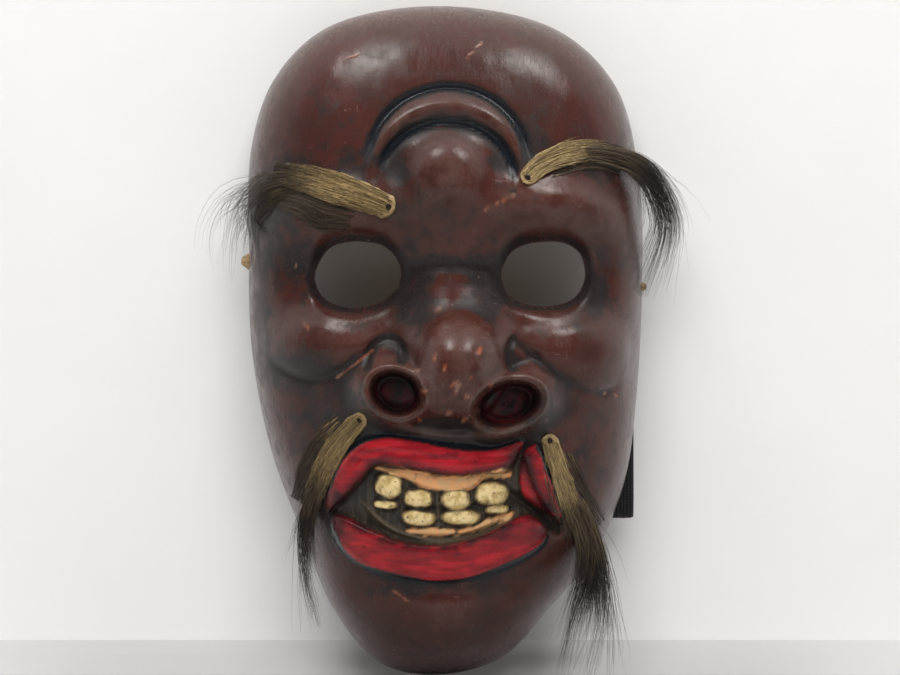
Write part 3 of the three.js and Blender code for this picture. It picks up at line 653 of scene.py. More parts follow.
# ---- Hides, hair and nails ----
# Centre lines in x and z from the nailed root, and the half width at the root, the middle and the free end.
HIDES = {
    "brow_hide_left": (((-15.4, 41.6), (-29, 46.8), (-43, 51.6), (-54.5, 54.4)), (3.7, 5.2, 3.4)),
    "brow_hide_right": (((25.3, 50.3), (31, 56), (40, 60.2), (49, 61.6), (57.5, 60.4)), (3.0, 3.7, 3.2)),
    "moustache_hide_left": (((-25.2, -23.8), (-32, -31), (-38.5, -41), (-43.4, -53.5)), (2.8, 3.6, 3.2)),
    "moustache_hide_right": (((33.2, -30), (36.8, -41), (40.8, -52), (45.6, -62.5)), (2.5, 3.0, 3.6)),
}
HIDE_THICKNESS = 1.1
HIDE_ROWS = 90
HIDE_COLUMNS = 16
NAIL_FROM_ROOT = 2.2
NAIL_RADIUS = 0.95
NAIL_HEIGHT = 0.7
NAIL_SHANK = 0.45
NAIL_LENGTH = 3.4
NAIL_AXIS = (0.1, -1, 0.15)


def along_frame(route, t):
    """Place and unit direction on a curve at fractions t of its length."""
    line = spline(route, 30)
    steps = np.linalg.norm(np.diff(line, axis=0), axis=1)
    at = np.concatenate([[0], np.cumsum(steps)])
    length = at[-1]

    def point(distance):
        return np.stack([np.interp(np.clip(distance, 0, length), at, column) for column in line.T], axis=-1)

    here = t * length
    return point(here), unit(point(here + 0.5) - point(here - 0.5)), length


def strip_rise(across):
    """Thickness of a strip: thin at the sides, where across is -1 or 1."""
    edge = np.sqrt(np.clip(1 - np.abs(across) ** 4, 0, 1))
    return HIDE_THICKNESS * (0.35 + 0.65 * edge)


def ragged_side(from_root, seed):
    fine_nicks = 0.16 * waves(from_root, from_root * 0, 3.3, seed)
    return (fine_nicks + 0.22 * waves(from_root, from_root, 8, seed + 5))[:, None]


def two_sheets(top, bottom, rows, columns):
    """Points and faces of a thin body between two grids."""
    first = rows * columns
    ring = border(rows, columns)
    after = np.roll(ring, -1)
    rim = np.stack([ring, ring + first, after + first, after], axis=-1)
    faces = [grid_quads(rows, columns), grid_quads(rows, columns, first, flip=True), rim]
    return np.concatenate([top.reshape(-1, 3), bottom.reshape(-1, 3)]), np.concatenate(faces)


def make_hide(name, seed):
    """A strip of skin laid over the carving: rounded nailed root, ragged sides, thin edges."""
    route, halves = HIDES[name]
    t = np.linspace(0, 1, HIDE_ROWS)
    place, direction, length = along_frame(route, t)
    from_root = t * length
    half = np.interp(t, (0, 0.5, 1), halves)
    half = half * np.sqrt(np.clip(1 - np.clip(1 - from_root / halves[0], 0, 1) ** 2, 0.004, 1))
    half = half * np.sqrt(np.clip((1 - t) * length / 2.5, 0.02, 1))
    half = half[:, None]
    across = np.linspace(-1, 1, HIDE_COLUMNS)[None, :]
    ragged = np.where(across > 0, ragged_side(from_root, seed), ragged_side(from_root, seed + 1))
    reach = across * half + ragged * np.abs(across) ** 3 * np.minimum(half, 1)
    x = place[:, :1] - direction[:, 1:] * reach
    z = place[:, 1:] + direction[:, :1] * reach
    surface = soften(front_y(x, z)[0], 2, 2)
    curl = 0.5 * smoothstep(0.8, 1, t)[:, None] + 0.18 * waves(x, z, 9, seed + 9)
    rise = strip_rise(across) + np.maximum(curl, -0.1)
    top = np.stack([x, surface - rise, z], axis=-1)
    bottom = np.stack([x, surface + 0.25, z], axis=-1)
    points, quads = two_sheets(top, bottom, HIDE_ROWS, HIDE_COLUMNS)
    attributes = {
        "along": np.tile(np.repeat(t, HIDE_COLUMNS), 2),
        "across": np.tile(across.ravel(), 2 * HIDE_ROWS),
        "shade": np.full(len(points), 0.5),
    }
    return points, quads, (), attributes


# Hair: routes from root to tip as x, y, z (y None lies on the face), spread at the root, middle and tip,
# number of hairs, number of locks, thickness, and how far along the route roots start and tips end.
HAIRS = {
    "brow_hair_left": {
        "route": (
            (-50, None, 51), (-56, None, 49.5), (-61.5, -30, 47), (-67, -25, 43.5), (-70.8, -20, 35),
            (-70.6, -16, 19),
        ),
        "spread": (4, 9.5, 6.5), "count": 210, "locks": 12, "thick": 0.07,
        "roots": (0, 0.45), "tips": (0.4, 1.0),
    },
    "brow_hair_right": {
        "route": (
            (46, None, 60.5), (55, None, 60), (62.5, -34, 57.5), (69.5, -27, 51.5), (75.3, -21, 38),
            (73, -18, 26), (68.5, -17, 14),
        ),
        "spread": (2.6, 4.8, 4.6), "count": 480, "locks": 18, "thick": 0.08,
        "roots": (0, 0.3), "tips": (0.5, 1.0),
    },
    "moustache_hair_left": {
        "route": (
            (-39.5, None, -44), (-43, -38, -53), (-45, -38, -61), (-45, -39, -70), (-43.5, -40, -80),
            (-40, -40, -93),
        ),
        "spread": (2.4, 3.4, 4.4), "count": 300, "locks": 11, "thick": 0.075,
        "roots": (0, 0.3), "tips": (0.4, 1.0),
    },
    "moustache_hair_right": {
        "route": (
            (42.5, None, -52), (45.6, -37, -60), (48, -36, -69), (48.4, -36, -78), (46.2, -36, -95),
            (43, -36, -111),
        ),
        "spread": (3, 5.6, 6.8), "count": 820, "locks": 24, "thick": 0.085,
        "roots": (0, 0.28), "tips": (0.5, 1.0),
    },
}
HAIR_POINTS = 11
FUR_POINTS = 8
FUR_WIDTH = 0.13
LOWEST_HAIR = -113.5
HAIR_LIFT = 1.6  # of a root over the face


def strand_mesh(lines, widths, shades):
    """Tapered three-sided hairs. lines is hairs x points x 3; widths is hairs x points."""
    hairs, points, _ = lines.shape
    direction = unit(np.gradient(lines, axis=1))
    side = unit(np.cross(direction, np.array([0.13, 0.95, 0.28])))
    up = np.cross(direction, side)
    turns = math.tau * np.arange(3) / 3
    ring = [lines + (side * math.cos(a) + up * math.sin(a)) * widths[..., None] for a in turns]
    verts = np.stack(ring, axis=2).reshape(-1, 3)
    index = np.arange(hairs * points * 3).reshape(hairs, points, 3)
    quads = []
    for k, m in ((0, 1), (1, 2), (2, 0)):
        faces = np.stack([index[:, :-1, k], index[:, 1:, k], index[:, 1:, m], index[:, :-1, m]], -1)
        quads.append(faces.reshape(-1, 4))
    caps = np.concatenate([index[:, 0, :].reshape(-1, 3), index[:, -1, ::-1].reshape(-1, 3)])
    along = np.broadcast_to(np.linspace(0, 1, points)[None, :, None], (hairs, points, 3)).ravel()
    shade = np.broadcast_to(shades[:, None, None], (hairs, points, 3)).ravel()
    return verts, np.concatenate(quads), caps, {"along": along, "across": 0 * along, "shade": shade}


def lay_on_face(lines, lift):
    """Pushes hairs out to at least lift in front of the face wherever they cross it."""
    x, y, z = lines[..., 0], lines[..., 1], lines[..., 2]
    surface, out = front_y(x, z)
    over = out < 0.985
    return np.stack([x, np.where(over, np.minimum(y, surface - lift), y), z], axis=-1)


def make_hair(name, seed):
    spec = HAIRS[name]
    rng = np.random.default_rng(seed)
    count, locks = spec["count"], spec["locks"]
    route = [(x, front_y(x, z)[0] - HAIR_LIFT if y is None else y, z) for x, y, z in spec["route"]]
    start = rng.uniform(*spec["roots"], count) ** 1.2
    lock = rng.integers(0, locks, count)
    lock_end = rng.uniform(*spec["tips"], locks)
    end = np.clip(lock_end[lock] + rng.normal(0, 0.07, count), start + 0.25, 1)
    s = np.linspace(0, 1, HAIR_POINTS)
    t = start[:, None] + (end - start)[:, None] * s[None, :]
    place, direction, _ = along_frame(route, t.ravel())
    place = place.reshape(count, HAIR_POINTS, 3)
    direction = direction.reshape(count, HAIR_POINTS, 3)
    side = unit(np.cross(direction, np.array([0.0, 1.0, 0.0])))
    spread = np.interp(t, (0, 0.5, 1), spec["spread"])
    lock_side = rng.uniform(-1, 1, locks)[lock][:, None]
    own_side = rng.uniform(-1, 1, count)[:, None]
    gather = smoothstep(0.15, 0.75, t)
    offset = spread * (lock_side * gather + own_side * (1 - 0.72 * gather))
    bend = rng.normal(0, 1, locks)[lock][:, None] * 1.6 * s**2
    bend = bend + rng.normal(0, 0.9, count)[:, None] * s**2
    curl_phase = rng.uniform(0, math.tau, count)[:, None]
    curl = 0.35 * np.sin(s * rng.uniform(4, 11, count)[:, None] + curl_phase) * s
    stray = (rng.random(count) < 0.1)[:, None] * rng.normal(0, 5, count)[:, None] * s**1.6
    lines = place + side * (offset + bend + curl + stray)[..., None]
    lock_depth = rng.uniform(-1, 1, locks)[lock][:, None]
    own_depth = rng.uniform(-1, 1, count)[:, None]
    depth = 0.75 * spread * (lock_depth * gather + own_depth * (1 - 0.6 * gather))
    lines[..., 1] += depth + 0.3 * np.cos(s * 6 + curl_phase) * s
    lines[..., 2] = np.maximum(lines[..., 2], LOWEST_HAIR)
    lines = lay_on_face(lines, 0.4 + 0.9 * rng.random(count)[:, None])
    widths = spec["thick"] * rng.uniform(0.7, 1.2, count)[:, None] * np.clip(1.1 - s[None, :] ** 1.5, 0.18, 1)
    return strand_mesh(lines, widths, rng.random(count))


def make_fur(name, seed, count, lift, lanes=(-0.97, 0.97), longest=15, darker=0.0):
    """Short fibres that lie along a hide strip, from its root to its free end, or beside it."""
    route, halves = HIDES[name]
    rng = np.random.default_rng(seed)
    length = along_frame(route, np.array([0.0]))[2]
    start = rng.uniform(0.03 + 0.35 * darker, 0.93, count)
    reach = rng.uniform(5, longest, count) / length
    s = np.linspace(0, 1, FUR_POINTS)
    t = np.minimum(start[:, None] + reach[:, None] * s, 1.0 + 1.5 / length * s)
    place, direction, _ = along_frame(route, np.clip(t, 0, 1).ravel())
    direction = direction.reshape(count, FUR_POINTS, 2)
    past_end = np.maximum(t - 1, 0) * length
    place = place.reshape(count, FUR_POINTS, 2) + direction * past_end[..., None]
    side = np.stack([-direction[..., 1], direction[..., 0]], axis=-1)
    half = np.interp(t, (0, 0.5, 1), halves)
    root = np.minimum(1, np.sqrt(start * length / halves[0]))[:, None]
    lane = rng.uniform(*lanes, count)[:, None]
    drift = rng.normal(0, 0.5, count)[:, None] * s**2 + lane * 0.25 * s * (1 + 2 * darker)
    flat = place + side * (lane * half * root + drift)[..., None]
    x, z = flat[..., 0], flat[..., 1]
    surface, _ = front_y(x, z)
    height = (np.abs(lane) < 1) * strip_rise(lane)
    height = height + lift * (0.15 + rng.random(count)[:, None] * np.sin(s * 2.4))
    lines = np.stack([x, surface - height, z], axis=-1)
    widths = FUR_WIDTH * rng.uniform(0.6, 1.25, count)[:, None] * np.clip(1.08 - s**2, 0.15, 1)
    verts, quads, caps, attributes = strand_mesh(lines, widths, rng.random(count))
    # darker tints fibres beside a strip: partly dark hair, partly painted shade under the strip
    attributes["along"] = np.repeat(np.clip(t, 0, 1).ravel() + darker, 3)
    return verts, quads, caps, attributes


def join(parts):
    """Several (points, quads, triangles, attributes) as one."""
    points, quads, triangles, attributes, first = [], [], [], {}, 0
    for p, q, t, a in parts:
        points.append(p)
        quads.append(np.asarray(q) + first)
        if len(t):
            triangles.append(np.asarray(t) + first)
        for key, values in a.items():
            attributes.setdefault(key, []).append(np.asarray(values))
        first += len(p)
    attributes = {key: np.concatenate(values) for key, values in attributes.items()}
    return np.concatenate(points), np.concatenate(quads), np.concatenate(triangles), attributes


def lathe(profile, foot, axis, sides=20, seed=0, wobble=0.0):
    """A body of revolution: profile is (radius, height) from its foot up, along the axis."""
    rng = np.random.default_rng(seed)
    foot, axis = np.array(foot, float), unit(np.array(axis, float))
    side = unit(np.cross(axis, (0.31, 0.2, 0.93)))
    up = np.cross(axis, side)
    k = np.arange(sides)
    m = (k + 1) % sides
    turn = (math.tau * k / sides)[:, None]
    ring = (side * np.cos(turn) + up * np.sin(turn)) * (1 + wobble * rng.normal(0, 1, sides))[:, None]
    points = [foot + axis * height + ring * radius for radius, height in profile]
    points += [[foot + axis * profile[0][1]], [foot + axis * profile[-1][1]]]
    last = (len(profile) - 1) * sides
    rows = range(0, last, sides)
    quads = [np.stack([r + k, r + m, r + sides + m, r + sides + k], -1) for r in rows]
    low, high = last + sides + 0 * k, last + sides + 1 + 0 * k
    triangles = [np.stack([low, m, k], -1), np.stack([high, last + k, last + m], -1)]
    return np.concatenate(points), np.concatenate(quads), np.concatenate(triangles), {}


def make_nail(route, seed):
    """A hand-made nail near the root of a strip, with an uneven head."""
    _, _, length = along_frame(route, np.array([0.0]))
    ((x, z),), _, _ = along_frame(route, np.array([NAIL_FROM_ROOT / length]))
    y = float(front_y(x, z)[0]) - HIDE_THICKNESS - 0.1
    r, h = NAIL_RADIUS, NAIL_HEIGHT
    shank = [(NAIL_SHANK, -NAIL_LENGTH), (NAIL_SHANK, -0.2)]
    head = [(r, -0.15), (r, 0.15), (0.85 * r, 0.75 * h), (0.4 * r, h)]
    return lathe(shank + head, (x, y, z), NAIL_AXIS, 18, seed, 0.05)


# ---- Strap ----
# Stations: the middle, the direction of the width, and the half width.
TAB_X = 56.9
PEG_Y = -8.0
TAB_HALF = 6.5
HALF_WIDTH = 12.5
BAND = (
    ((TAB_X, PEG_Y, 25), (0, 1, 0), TAB_HALF), ((TAB_X, PEG_Y, 18.6), (0, 1, 0), TAB_HALF),
    ((56.2, -6.8, 10), (0.15, 0.99, 0), 8), ((54.8, -3.6, 0), (0.5, 0.87, 0), 10),
    ((53.4, 0.8, -10), (0.85, 0.53, 0), 12), ((52.4, 3.6, -20), (0.99, 0.13, 0), HALF_WIDTH),
    ((52.2, 4, -30), (1, 0, 0), HALF_WIDTH), ((52.2, 4, -42), (1, 0, 0), HALF_WIDTH),
    ((52.2, 4, -57), (1, 0, 0), HALF_WIDTH), ((52.2, 5.9, -60.3), (1, 0, 0), HALF_WIDTH),
    ((52, 7.8, -57), (1, 0, 0), HALF_WIDTH), ((50, 8.4, -46), (0.95, 0, 0.31), HALF_WIDTH),
    ((40, 8.8, -31), (0.72, 0, 0.69), HALF_WIDTH), ((22, 9.2, -21), (0.42, 0, 0.91), HALF_WIDTH),
    ((0, 9.6, -15), (0.25, 0, 0.97), HALF_WIDTH), ((-22, 9.4, -10), (0.3, 0, 0.95), HALF_WIDTH),
    ((-39, 8, -5), (0.6, 0, 0.8), 12),
    ((-48.6, 4.8, -1), (0.86, -0.36, 0.36), 11.5), ((-53.2, -0.8, 6), (0.76, -0.65, 0), 10.5),
    ((-55.4, -5.6, 13), (0.36, -0.93, 0), 8.5), ((-56.8, -7.6, 19.4), (0.06, -1, 0), 7),
    ((-TAB_X, PEG_Y, 25.9), (0, -1, 0), TAB_HALF), ((-TAB_X, PEG_Y, 32), (0, -1, 0), TAB_HALF),
)
BAND_THICKNESS = 1.2
BAND_STEPS = 14
BAND_COLUMNS = 22
PEG_HOLES = (((TAB_X, PEG_Y, 18.6), 2.75), ((-TAB_X, PEG_Y, 25.9), 3.45))


def make_strap():
    middle = spline([b[0] for b in BAND], BAND_STEPS)
    across = spline([b[1] for b in BAND], BAND_STEPS)
    half = spline([(b[2], 0) for b in BAND], BAND_STEPS)[:, 0]
    tangent = unit(np.gradient(middle, axis=0))
    across = unit(across - tangent * np.einsum("ij,ij->i", across, tangent)[:, None])
    normal = np.cross(tangent, across)
    lane = np.linspace(-1, 1, BAND_COLUMNS)
    ridge = 1 + 0.07 * np.cos(np.arange(BAND_COLUMNS) * math.pi)
    thick = BAND_THICKNESS / 2 * np.sqrt(np.clip(1 - np.abs(lane) ** 10, 0.06, 1)) * ridge
    length = np.concatenate([[0], np.cumsum(np.linalg.norm(np.diff(middle, axis=0), axis=1))])
    lane_reach = half[:, None] * lane[None, :]
    sheet = middle[:, None, :] + across[:, None, :] * lane_reach[..., None]
    out = normal[:, None, :] * thick[None, :, None]
    points, quads = two_sheets(sheet + out, sheet - out, len(middle), BAND_COLUMNS)
    attributes = {
        "along": np.tile(np.repeat(length, BAND_COLUMNS), 2),
        "across": np.tile(lane_reach.ravel(), 2),
    }
    mesh = facing_out(build_mesh("strap", points, quads, (), attributes))
    strap = add_object("strap_band", mesh)
    tools = []
    for at, radius in PEG_HOLES:
        foot = (at[0] - 3, at[1], at[2])
        p, q, t, _ = lathe([(radius, 0), (radius, 6)], foot, (1, 0, 0), 24)
        tools.append(add_object("punch", facing_out(build_mesh("punch", p, q, t))))
    cut(strap, tools)
    strap.data.polygons.foreach_set("use_smooth", np.ones(len(strap.data.polygons), bool))
    strap.data.set_sharp_from_angle(angle=math.radians(55))
    return strap, float(length[-1])


# ---- Materials ----
class Finish:
    """Builds one node material."""

    def __init__(self, name):
        self.material = bpy.data.materials.new(name)
        self.material.use_nodes = True
        self.tree = self.material.node_tree
        self.tree.nodes.clear()
        self.output = self.new("ShaderNodeOutputMaterial")
        self.shader = self.new("ShaderNodeBsdfPrincipled")
        self.link(self.shader.outputs[0], self.output.inputs["Surface"])
        self.place = self.new("ShaderNodeTexCoord").outputs["Object"]

    def new(self, kind):
        return self.tree.nodes.new(kind)

    def link(self, source, target):
        self.tree.links.new(source, target)

    def feed(self, socket, value):
        if isinstance(value, bpy.types.NodeSocket):
            self.link(value, socket)
        elif isinstance(value, tuple) and len(value) == 3 and socket.type == "RGBA":
            socket.default_value = (*value, 1)
        else:
            socket.default_value = value

    def mask(self, name):
        node = self.new("ShaderNodeAttribute")
        node.attribute_name = name
        return node.outputs["Fac"]

    def texture(self, kind, size, stretch, **sockets):
        """A texture node with marks about size millimetres across."""
        mapping = self.new("ShaderNodeMapping")
        mapping.inputs["Scale"].default_value = tuple(1 / (MM * size * s) for s in stretch)
        self.link(self.place, mapping.inputs["Vector"])
        node = self.new(kind)
        self.link(mapping.outputs[0], node.inputs["Vector"])
        for key, value in {"Scale": 1, **sockets}.items():
            node.inputs[key].default_value = value
        return node

    def noise(self, size, detail=5, rough=0.6, stretch=(1, 1, 1), warp=0.0):
        """Cloudy variation."""
        sockets = {"Detail": detail, "Roughness": rough, "Distortion": warp}
        return self.texture("ShaderNodeTexNoise", size, stretch, **sockets).outputs["Fac"]

    def cells(self, size):
        """Distance to scattered points."""
        return self.texture("ShaderNodeTexVoronoi", size, (1, 1, 1)).outputs["Distance"]

    def span(self, value, low, high, to_low=0.0, to_high=1.0):
        node = self.new("ShaderNodeMapRange")
        node.interpolation_type = "SMOOTHSTEP"
        self.feed(node.inputs["Value"], value)
        for key, number in zip(("From Min", "From Max", "To Min", "To Max"), (low, high, to_low, to_high)):
            self.feed(node.inputs[key], number)
        return node.outputs["Result"]

    def math(self, operation, a, b=0.0, c=None):
        node = self.new("ShaderNodeMath")
        node.operation = operation
        self.feed(node.inputs[0], a)
        self.feed(node.inputs[1], b)
        if c is not None:
            self.feed(node.inputs[2], c)
        return node.outputs[0]

    def times(self, a, b):
        return self.math("MULTIPLY", a, b)

    def mix(self, factor, a, b):
        """Mixes two colours."""
        node = self.new("ShaderNodeMix")
        node.data_type = "RGBA"
        self.feed(node.inputs[0], factor)
        self.feed(node.inputs[6], a)
        self.feed(node.inputs[7], b)
        return node.outputs[2]

    def blend(self, factor, a, b):
        """Mixes two numbers."""
        node = self.new("ShaderNodeMix")
        node.data_type = "FLOAT"
        self.feed(node.inputs[0], factor)
        self.feed(node.inputs[2], a)
        self.feed(node.inputs[3], b)
        return node.outputs[0]

    def bump(self, height, distance, normal=None):
        """Relief of distance millimetres."""
        node = self.new("ShaderNodeBump")
        node.inputs["Distance"].default_value = distance * MM
        node.inputs["Strength"].default_value = 1.0
        self.feed(node.inputs["Height"], height)
        if normal is not None:
            self.link(normal, node.inputs["Normal"])
        return node.outputs[0]

    def finish(self, colour, roughness, normal=None, **sockets):
        self.feed(self.shader.inputs["Base Color"], colour)
        self.feed(self.shader.inputs["Roughness"], roughness)
        if normal is not None:
            self.link(normal, self.shader.inputs["Normal"])
        for key, value in sockets.items():
            self.feed(self.shader.inputs[key.replace("_", " ")], value)
        return self.material


def old_paint(n, patches, mottle, streaks, fine):
    """Red-brown paint, thinner and redder in places, rubbed on the crests and scuffed."""
    paint = n.mix(n.span(patches, 0.38, 0.62), (0.048, 0.0180, 0.0140), (0.062, 0.0185, 0.0142))
    paint = n.mix(n.span(mottle, 0.42, 0.70, 0, 0.6), paint, (0.040, 0.018, 0.016))
    paint = n.mix(n.span(streaks, 0.55, 0.8, 0, 0.5), paint, (0.105, 0.045, 0.036))
    paint = n.mix(n.span(fine, 0.6, 0.85, 0, 0.3), paint, (0.12, 0.062, 0.05))
    rubbed = n.times(n.mask("crest"), n.span(mottle, 0.35, 0.6))
    paint = n.mix(n.times(rubbed, 0.4), paint, (0.125, 0.062, 0.048))
    scuff_a = n.noise(0.55, 2, 0.5, stretch=(14, 3, 1), warp=0.6)
    scuff_b = n.noise(0.6, 2, 0.5, stretch=(1, 3, 16), warp=0.9)
    scuffs = n.math("MAXIMUM", n.span(scuff_a, 0.68, 0.76), n.span(scuff_b, 0.68, 0.76))
    scuffs = n.times(scuffs, n.span(patches, 0.4, 0.6, 0.15, 0.7))
    return n.mix(scuffs, paint, (0.15, 0.095, 0.08))


def soot_and_shade_amount(n, mottle, streaks):
    """Darker in the hollows and the dark patches, broken up by rubbing: soot and dirt, with painted shade in creases
    and where a patch stands for a shadow.
    """
    dirt_and_shade = n.math("ADD", n.times(n.mask("crevice"), 0.75), n.mask("soot_and_shade"))
    broken = n.math("MULTIPLY_ADD", streaks, 0.5, n.times(mottle, 2.0))
    return n.span(n.math("ADD", dirt_and_shade, n.math("SUBTRACT", broken, 1.32)), 0.05, 0.75, 0, 0.95)


def lip_red(n, mottle, worn):
    streak = n.noise(2.4, 3, 0.5, stretch=(7, 2, 0.8), warp=0.3)
    red = n.mix(n.span(streak, 0.35, 0.68), (0.26, 0.010, 0.016), (0.47, 0.016, 0.026))
    red = n.mix(n.span(worn, 0.56, 0.70, 0, 0.7), red, (0.085, 0.008, 0.012))
    inner = n.times(n.mask("inner_lip"), n.span(mottle, 0.3, 0.6, 0.35, 0.95))
    red = n.mix(inner, red, (0.022, 0.008, 0.009))
    red = n.mix(n.times(n.mask("crevice"), 0.7), red, (0.03, 0.008, 0.010))
    shaded = n.times(n.mask("lip_shade"), n.span(mottle, 0.25, 0.6, 0.55, 1.0))
    return n.mix(shaded, red, (0.018, 0.007, 0.009))


def in_the_mouth(n, colour, mottle, streaks, fine):
    """The dark floor of the mouth with painted shade in the corner crease, then gums, then stained cream teeth."""
    floor = n.mix(n.span(streaks, 0.4, 0.7), (0.018, 0.015, 0.013), (0.075, 0.058, 0.042))
    ridge = n.times(n.mask("ridge"), n.span(fine, 0.3, 0.6, 0.3, 0.9))
    floor = n.mix(ridge, floor, (0.12, 0.092, 0.06))
    colour = n.mix(n.mask("dark_mouth_and_crease_shade"), colour, floor)
    gum = n.mix(n.span(n.noise(3.4, 5, 0.6), 0.38, 0.62), (0.78, 0.36, 0.15), (0.62, 0.38, 0.18))
    gum = n.mix(n.span(mottle, 0.52, 0.68, 0, 0.85), gum, (0.06, 0.04, 0.025))
    colour = n.mix(n.mask("gum"), colour, gum)
    cream = n.mix(n.span(n.noise(2.6, 5, 0.6), 0.38, 0.66), (0.80, 0.63, 0.32), (0.50, 0.35, 0.13))
    cream = n.mix(n.span(n.noise(1.6, 3, 0.6), 0.60, 0.70, 0, 0.85), cream, (0.07, 0.055, 0.03))
    cream = n.mix(n.span(n.mask("tooth"), 0.45, 1.0, 0.8, 0), cream, (0.12, 0.078, 0.03))
    return n.mix(n.span(n.mask("tooth"), 0.15, 0.4), colour, cream)


def chipped_paint(n, colour, patches, mottle, fine):
    """Chips and scratches to the orange-pink ground, and pinprick chips."""
    ground = n.mix(n.span(mottle, 0.4, 0.6), (0.34, 0.085, 0.035), (0.28, 0.16, 0.115))
    chip = n.times(n.mask("chip"), n.span(fine, 0.35, 0.55, 0.25, 0.9))
    colour = n.mix(chip, colour, ground)
    pricks = n.times(n.span(n.cells(4.6), 0.10, 0.05), n.span(patches, 0.5, 0.62, 0, 0.7))
    pricks = n.times(pricks, n.math("SUBTRACT", 1, n.mask("lip")))
    return n.mix(pricks, colour, (0.2, 0.12, 0.09))


def bare_wood(n, patches, rings):
    pores = n.noise(0.5, 3, 0.6, stretch=(0.6, 1, 9))
    wood = n.mix(n.span(rings, 0.35, 0.7), (0.30, 0.19, 0.105), (0.19, 0.11, 0.058))
    wood = n.mix(n.span(pores, 0.55, 0.75, 0, 0.6), wood, (0.085, 0.05, 0.028))
    return n.mix(n.span(patches, 0.42, 0.68, 0, 0.6), wood, (0.09, 0.06, 0.04))


def painted_wood():
    n = Finish("painted_wood")
    patches = n.noise(24, 4, 0.55, warp=0.6)
    mottle = n.noise(5.5, 6, 0.65)
    streaks = n.noise(2.6, 5, 0.7, stretch=(0.45, 1, 4.5), warp=0.5)
    fine = n.noise(0.7, 4, 0.7)
    dust_and_sheen = (0.15, 0.10, 0.085)
    # Soot and dirt, with painted shade, darken the paint in the hollows, creases and patches.
    dirt_and_shade = soot_and_shade_amount(n, mottle, streaks)
    soot_and_shade = n.mix(n.span(fine, 0.4, 0.75), (0.013, 0.0105, 0.010), (0.034, 0.028, 0.026))
    colour = n.mix(dirt_and_shade, old_paint(n, patches, mottle, streaks, fine), soot_and_shade)
    # The side near the rim is paler: dust, and a painted sheen where the side turns away
    colour = n.mix(n.times(n.mask("wall"), n.span(streaks, 0.3, 0.7, 0.12, 0.5)), colour, dust_and_sheen)
    # Rubbed nostril rims, and a painted highlight along the shelf under the nose
    colour = n.mix(n.times(n.mask("worn"), n.span(mottle, 0.3, 0.6, 0.2, 0.6)), colour, dust_and_sheen)
    lip_worn = n.noise(8, 5, 0.65, stretch=(1.6, 1, 0.8))
    colour = n.mix(n.mask("lip"), colour, lip_red(n, mottle, lip_worn))
    colour = in_the_mouth(n, colour, mottle, streaks, fine)
    # Nostrils are dark red, and lines black
    deep = n.mix(n.span(mottle, 0.4, 0.65), (0.008, 0.005, 0.005), (0.062, 0.007, 0.009))
    colour = n.mix(n.mask("nostril"), colour, deep)
    colour = chipped_paint(n, colour, patches, mottle, fine)
    ink = n.mix(n.span(fine, 0.55, 0.8, 0, 0.6), (0.008, 0.010, 0.014), (0.06, 0.062, 0.07))
    colour = n.mix(n.mask("line"), colour, ink)
    rings = n.noise(2.0, 4, 0.6, stretch=(0.5, 1, 14), warp=0.8)
    bare = n.math("ADD", n.mask("bare"), n.math("MULTIPLY_ADD", mottle, 0.5, -0.25))
    colour = n.mix(n.span(bare, 0.35, 0.65), colour, bare_wood(n, patches, rings))

    rough = n.blend(dirt_and_shade, n.span(mottle, 0.3, 0.7, 0.17, 0.29), 0.42)
    rough = n.blend(n.mask("lip"), rough, n.span(lip_worn, 0.4, 0.65, 0.24, 0.42))
    for mask, value in (("line", 0.24), ("tooth", 0.38), ("bare", 0.72)):
        rough = n.blend(n.mask(mask), rough, value)
    gouged = n.math("ADD", rings, n.noise(3.5, 3, 0.5, stretch=(1, 1, 3)))
    normal = None
    for relief, depth in (
        (n.noise(9, 2, 0.45), 0.09), (streaks, 0.07), (fine, 0.05), (n.times(n.mask("chip"), -1), 0.12),
        (n.times(n.mask("hollow"), gouged), 0.5),
    ):
        normal = n.bump(relief, depth, normal)
    return n.finish(colour, rough, normal, Specular_IOR_Level=0.3)


def goat_hide():
    n = Finish("goat_hide")
    along, shade = n.mask("along"), n.mask("shade")
    fibre = n.noise(1.2, 5, 0.7)
    gold = n.mix(shade, (0.12, 0.076, 0.032), (0.54, 0.39, 0.18))
    gold = n.mix(n.span(fibre, 0.45, 0.72, 0, 0.5), gold, (0.06, 0.04, 0.022))
    dark = n.mix(shade, (0.022, 0.016, 0.012), (0.10, 0.07, 0.045))
    colour = n.mix(n.span(n.math("MULTIPLY_ADD", fibre, 0.5, along), 0.75, 1.25), gold, dark)
    return n.finish(colour, 0.5, n.bump(fibre, 0.15), Specular_IOR_Level=0.45)


def goat_hair():
    n = Finish("goat_hair")
    along, shade = n.mask("along"), n.mask("shade")
    root = n.mix(shade, (0.035, 0.025, 0.017), (0.17, 0.12, 0.07))
    tip = n.mix(shade, (0.008, 0.007, 0.0065), (0.04, 0.032, 0.027))
    colour = n.mix(n.span(n.math("MULTIPLY_ADD", n.noise(3, 3), 0.4, along), 0.3, 0.8), root, tip)
    return n.finish(colour, 0.38, n.bump(n.noise(0.6, 2), 0.02), Specular_IOR_Level=0.5)


def iron():
    n = Finish("iron_nail")
    rust = n.noise(0.9, 5, 0.7)
    colour = n.mix(n.span(rust, 0.42, 0.66), (0.018, 0.016, 0.015), (0.07, 0.035, 0.02))
    rough = n.span(rust, 0.35, 0.7, 0.38, 0.75)
    return n.finish(colour, rough, n.bump(rust, 0.15), Metallic=0.6)


def peg_wood():
    n = Finish("peg_wood")
    grain = n.noise(0.8, 5, 0.65, stretch=(8, 1, 1))
    soil = n.noise(3, 4, 0.6)
    colour = n.mix(n.span(grain, 0.35, 0.7), (0.46, 0.32, 0.16), (0.25, 0.155, 0.07))
    colour = n.mix(n.span(soil, 0.48, 0.7, 0, 0.65), colour, (0.07, 0.045, 0.03))
    return n.finish(colour, 0.65, n.bump(grain, 0.18))


RIB_SPACING = 1.15
PICK_SPACING = 0.9


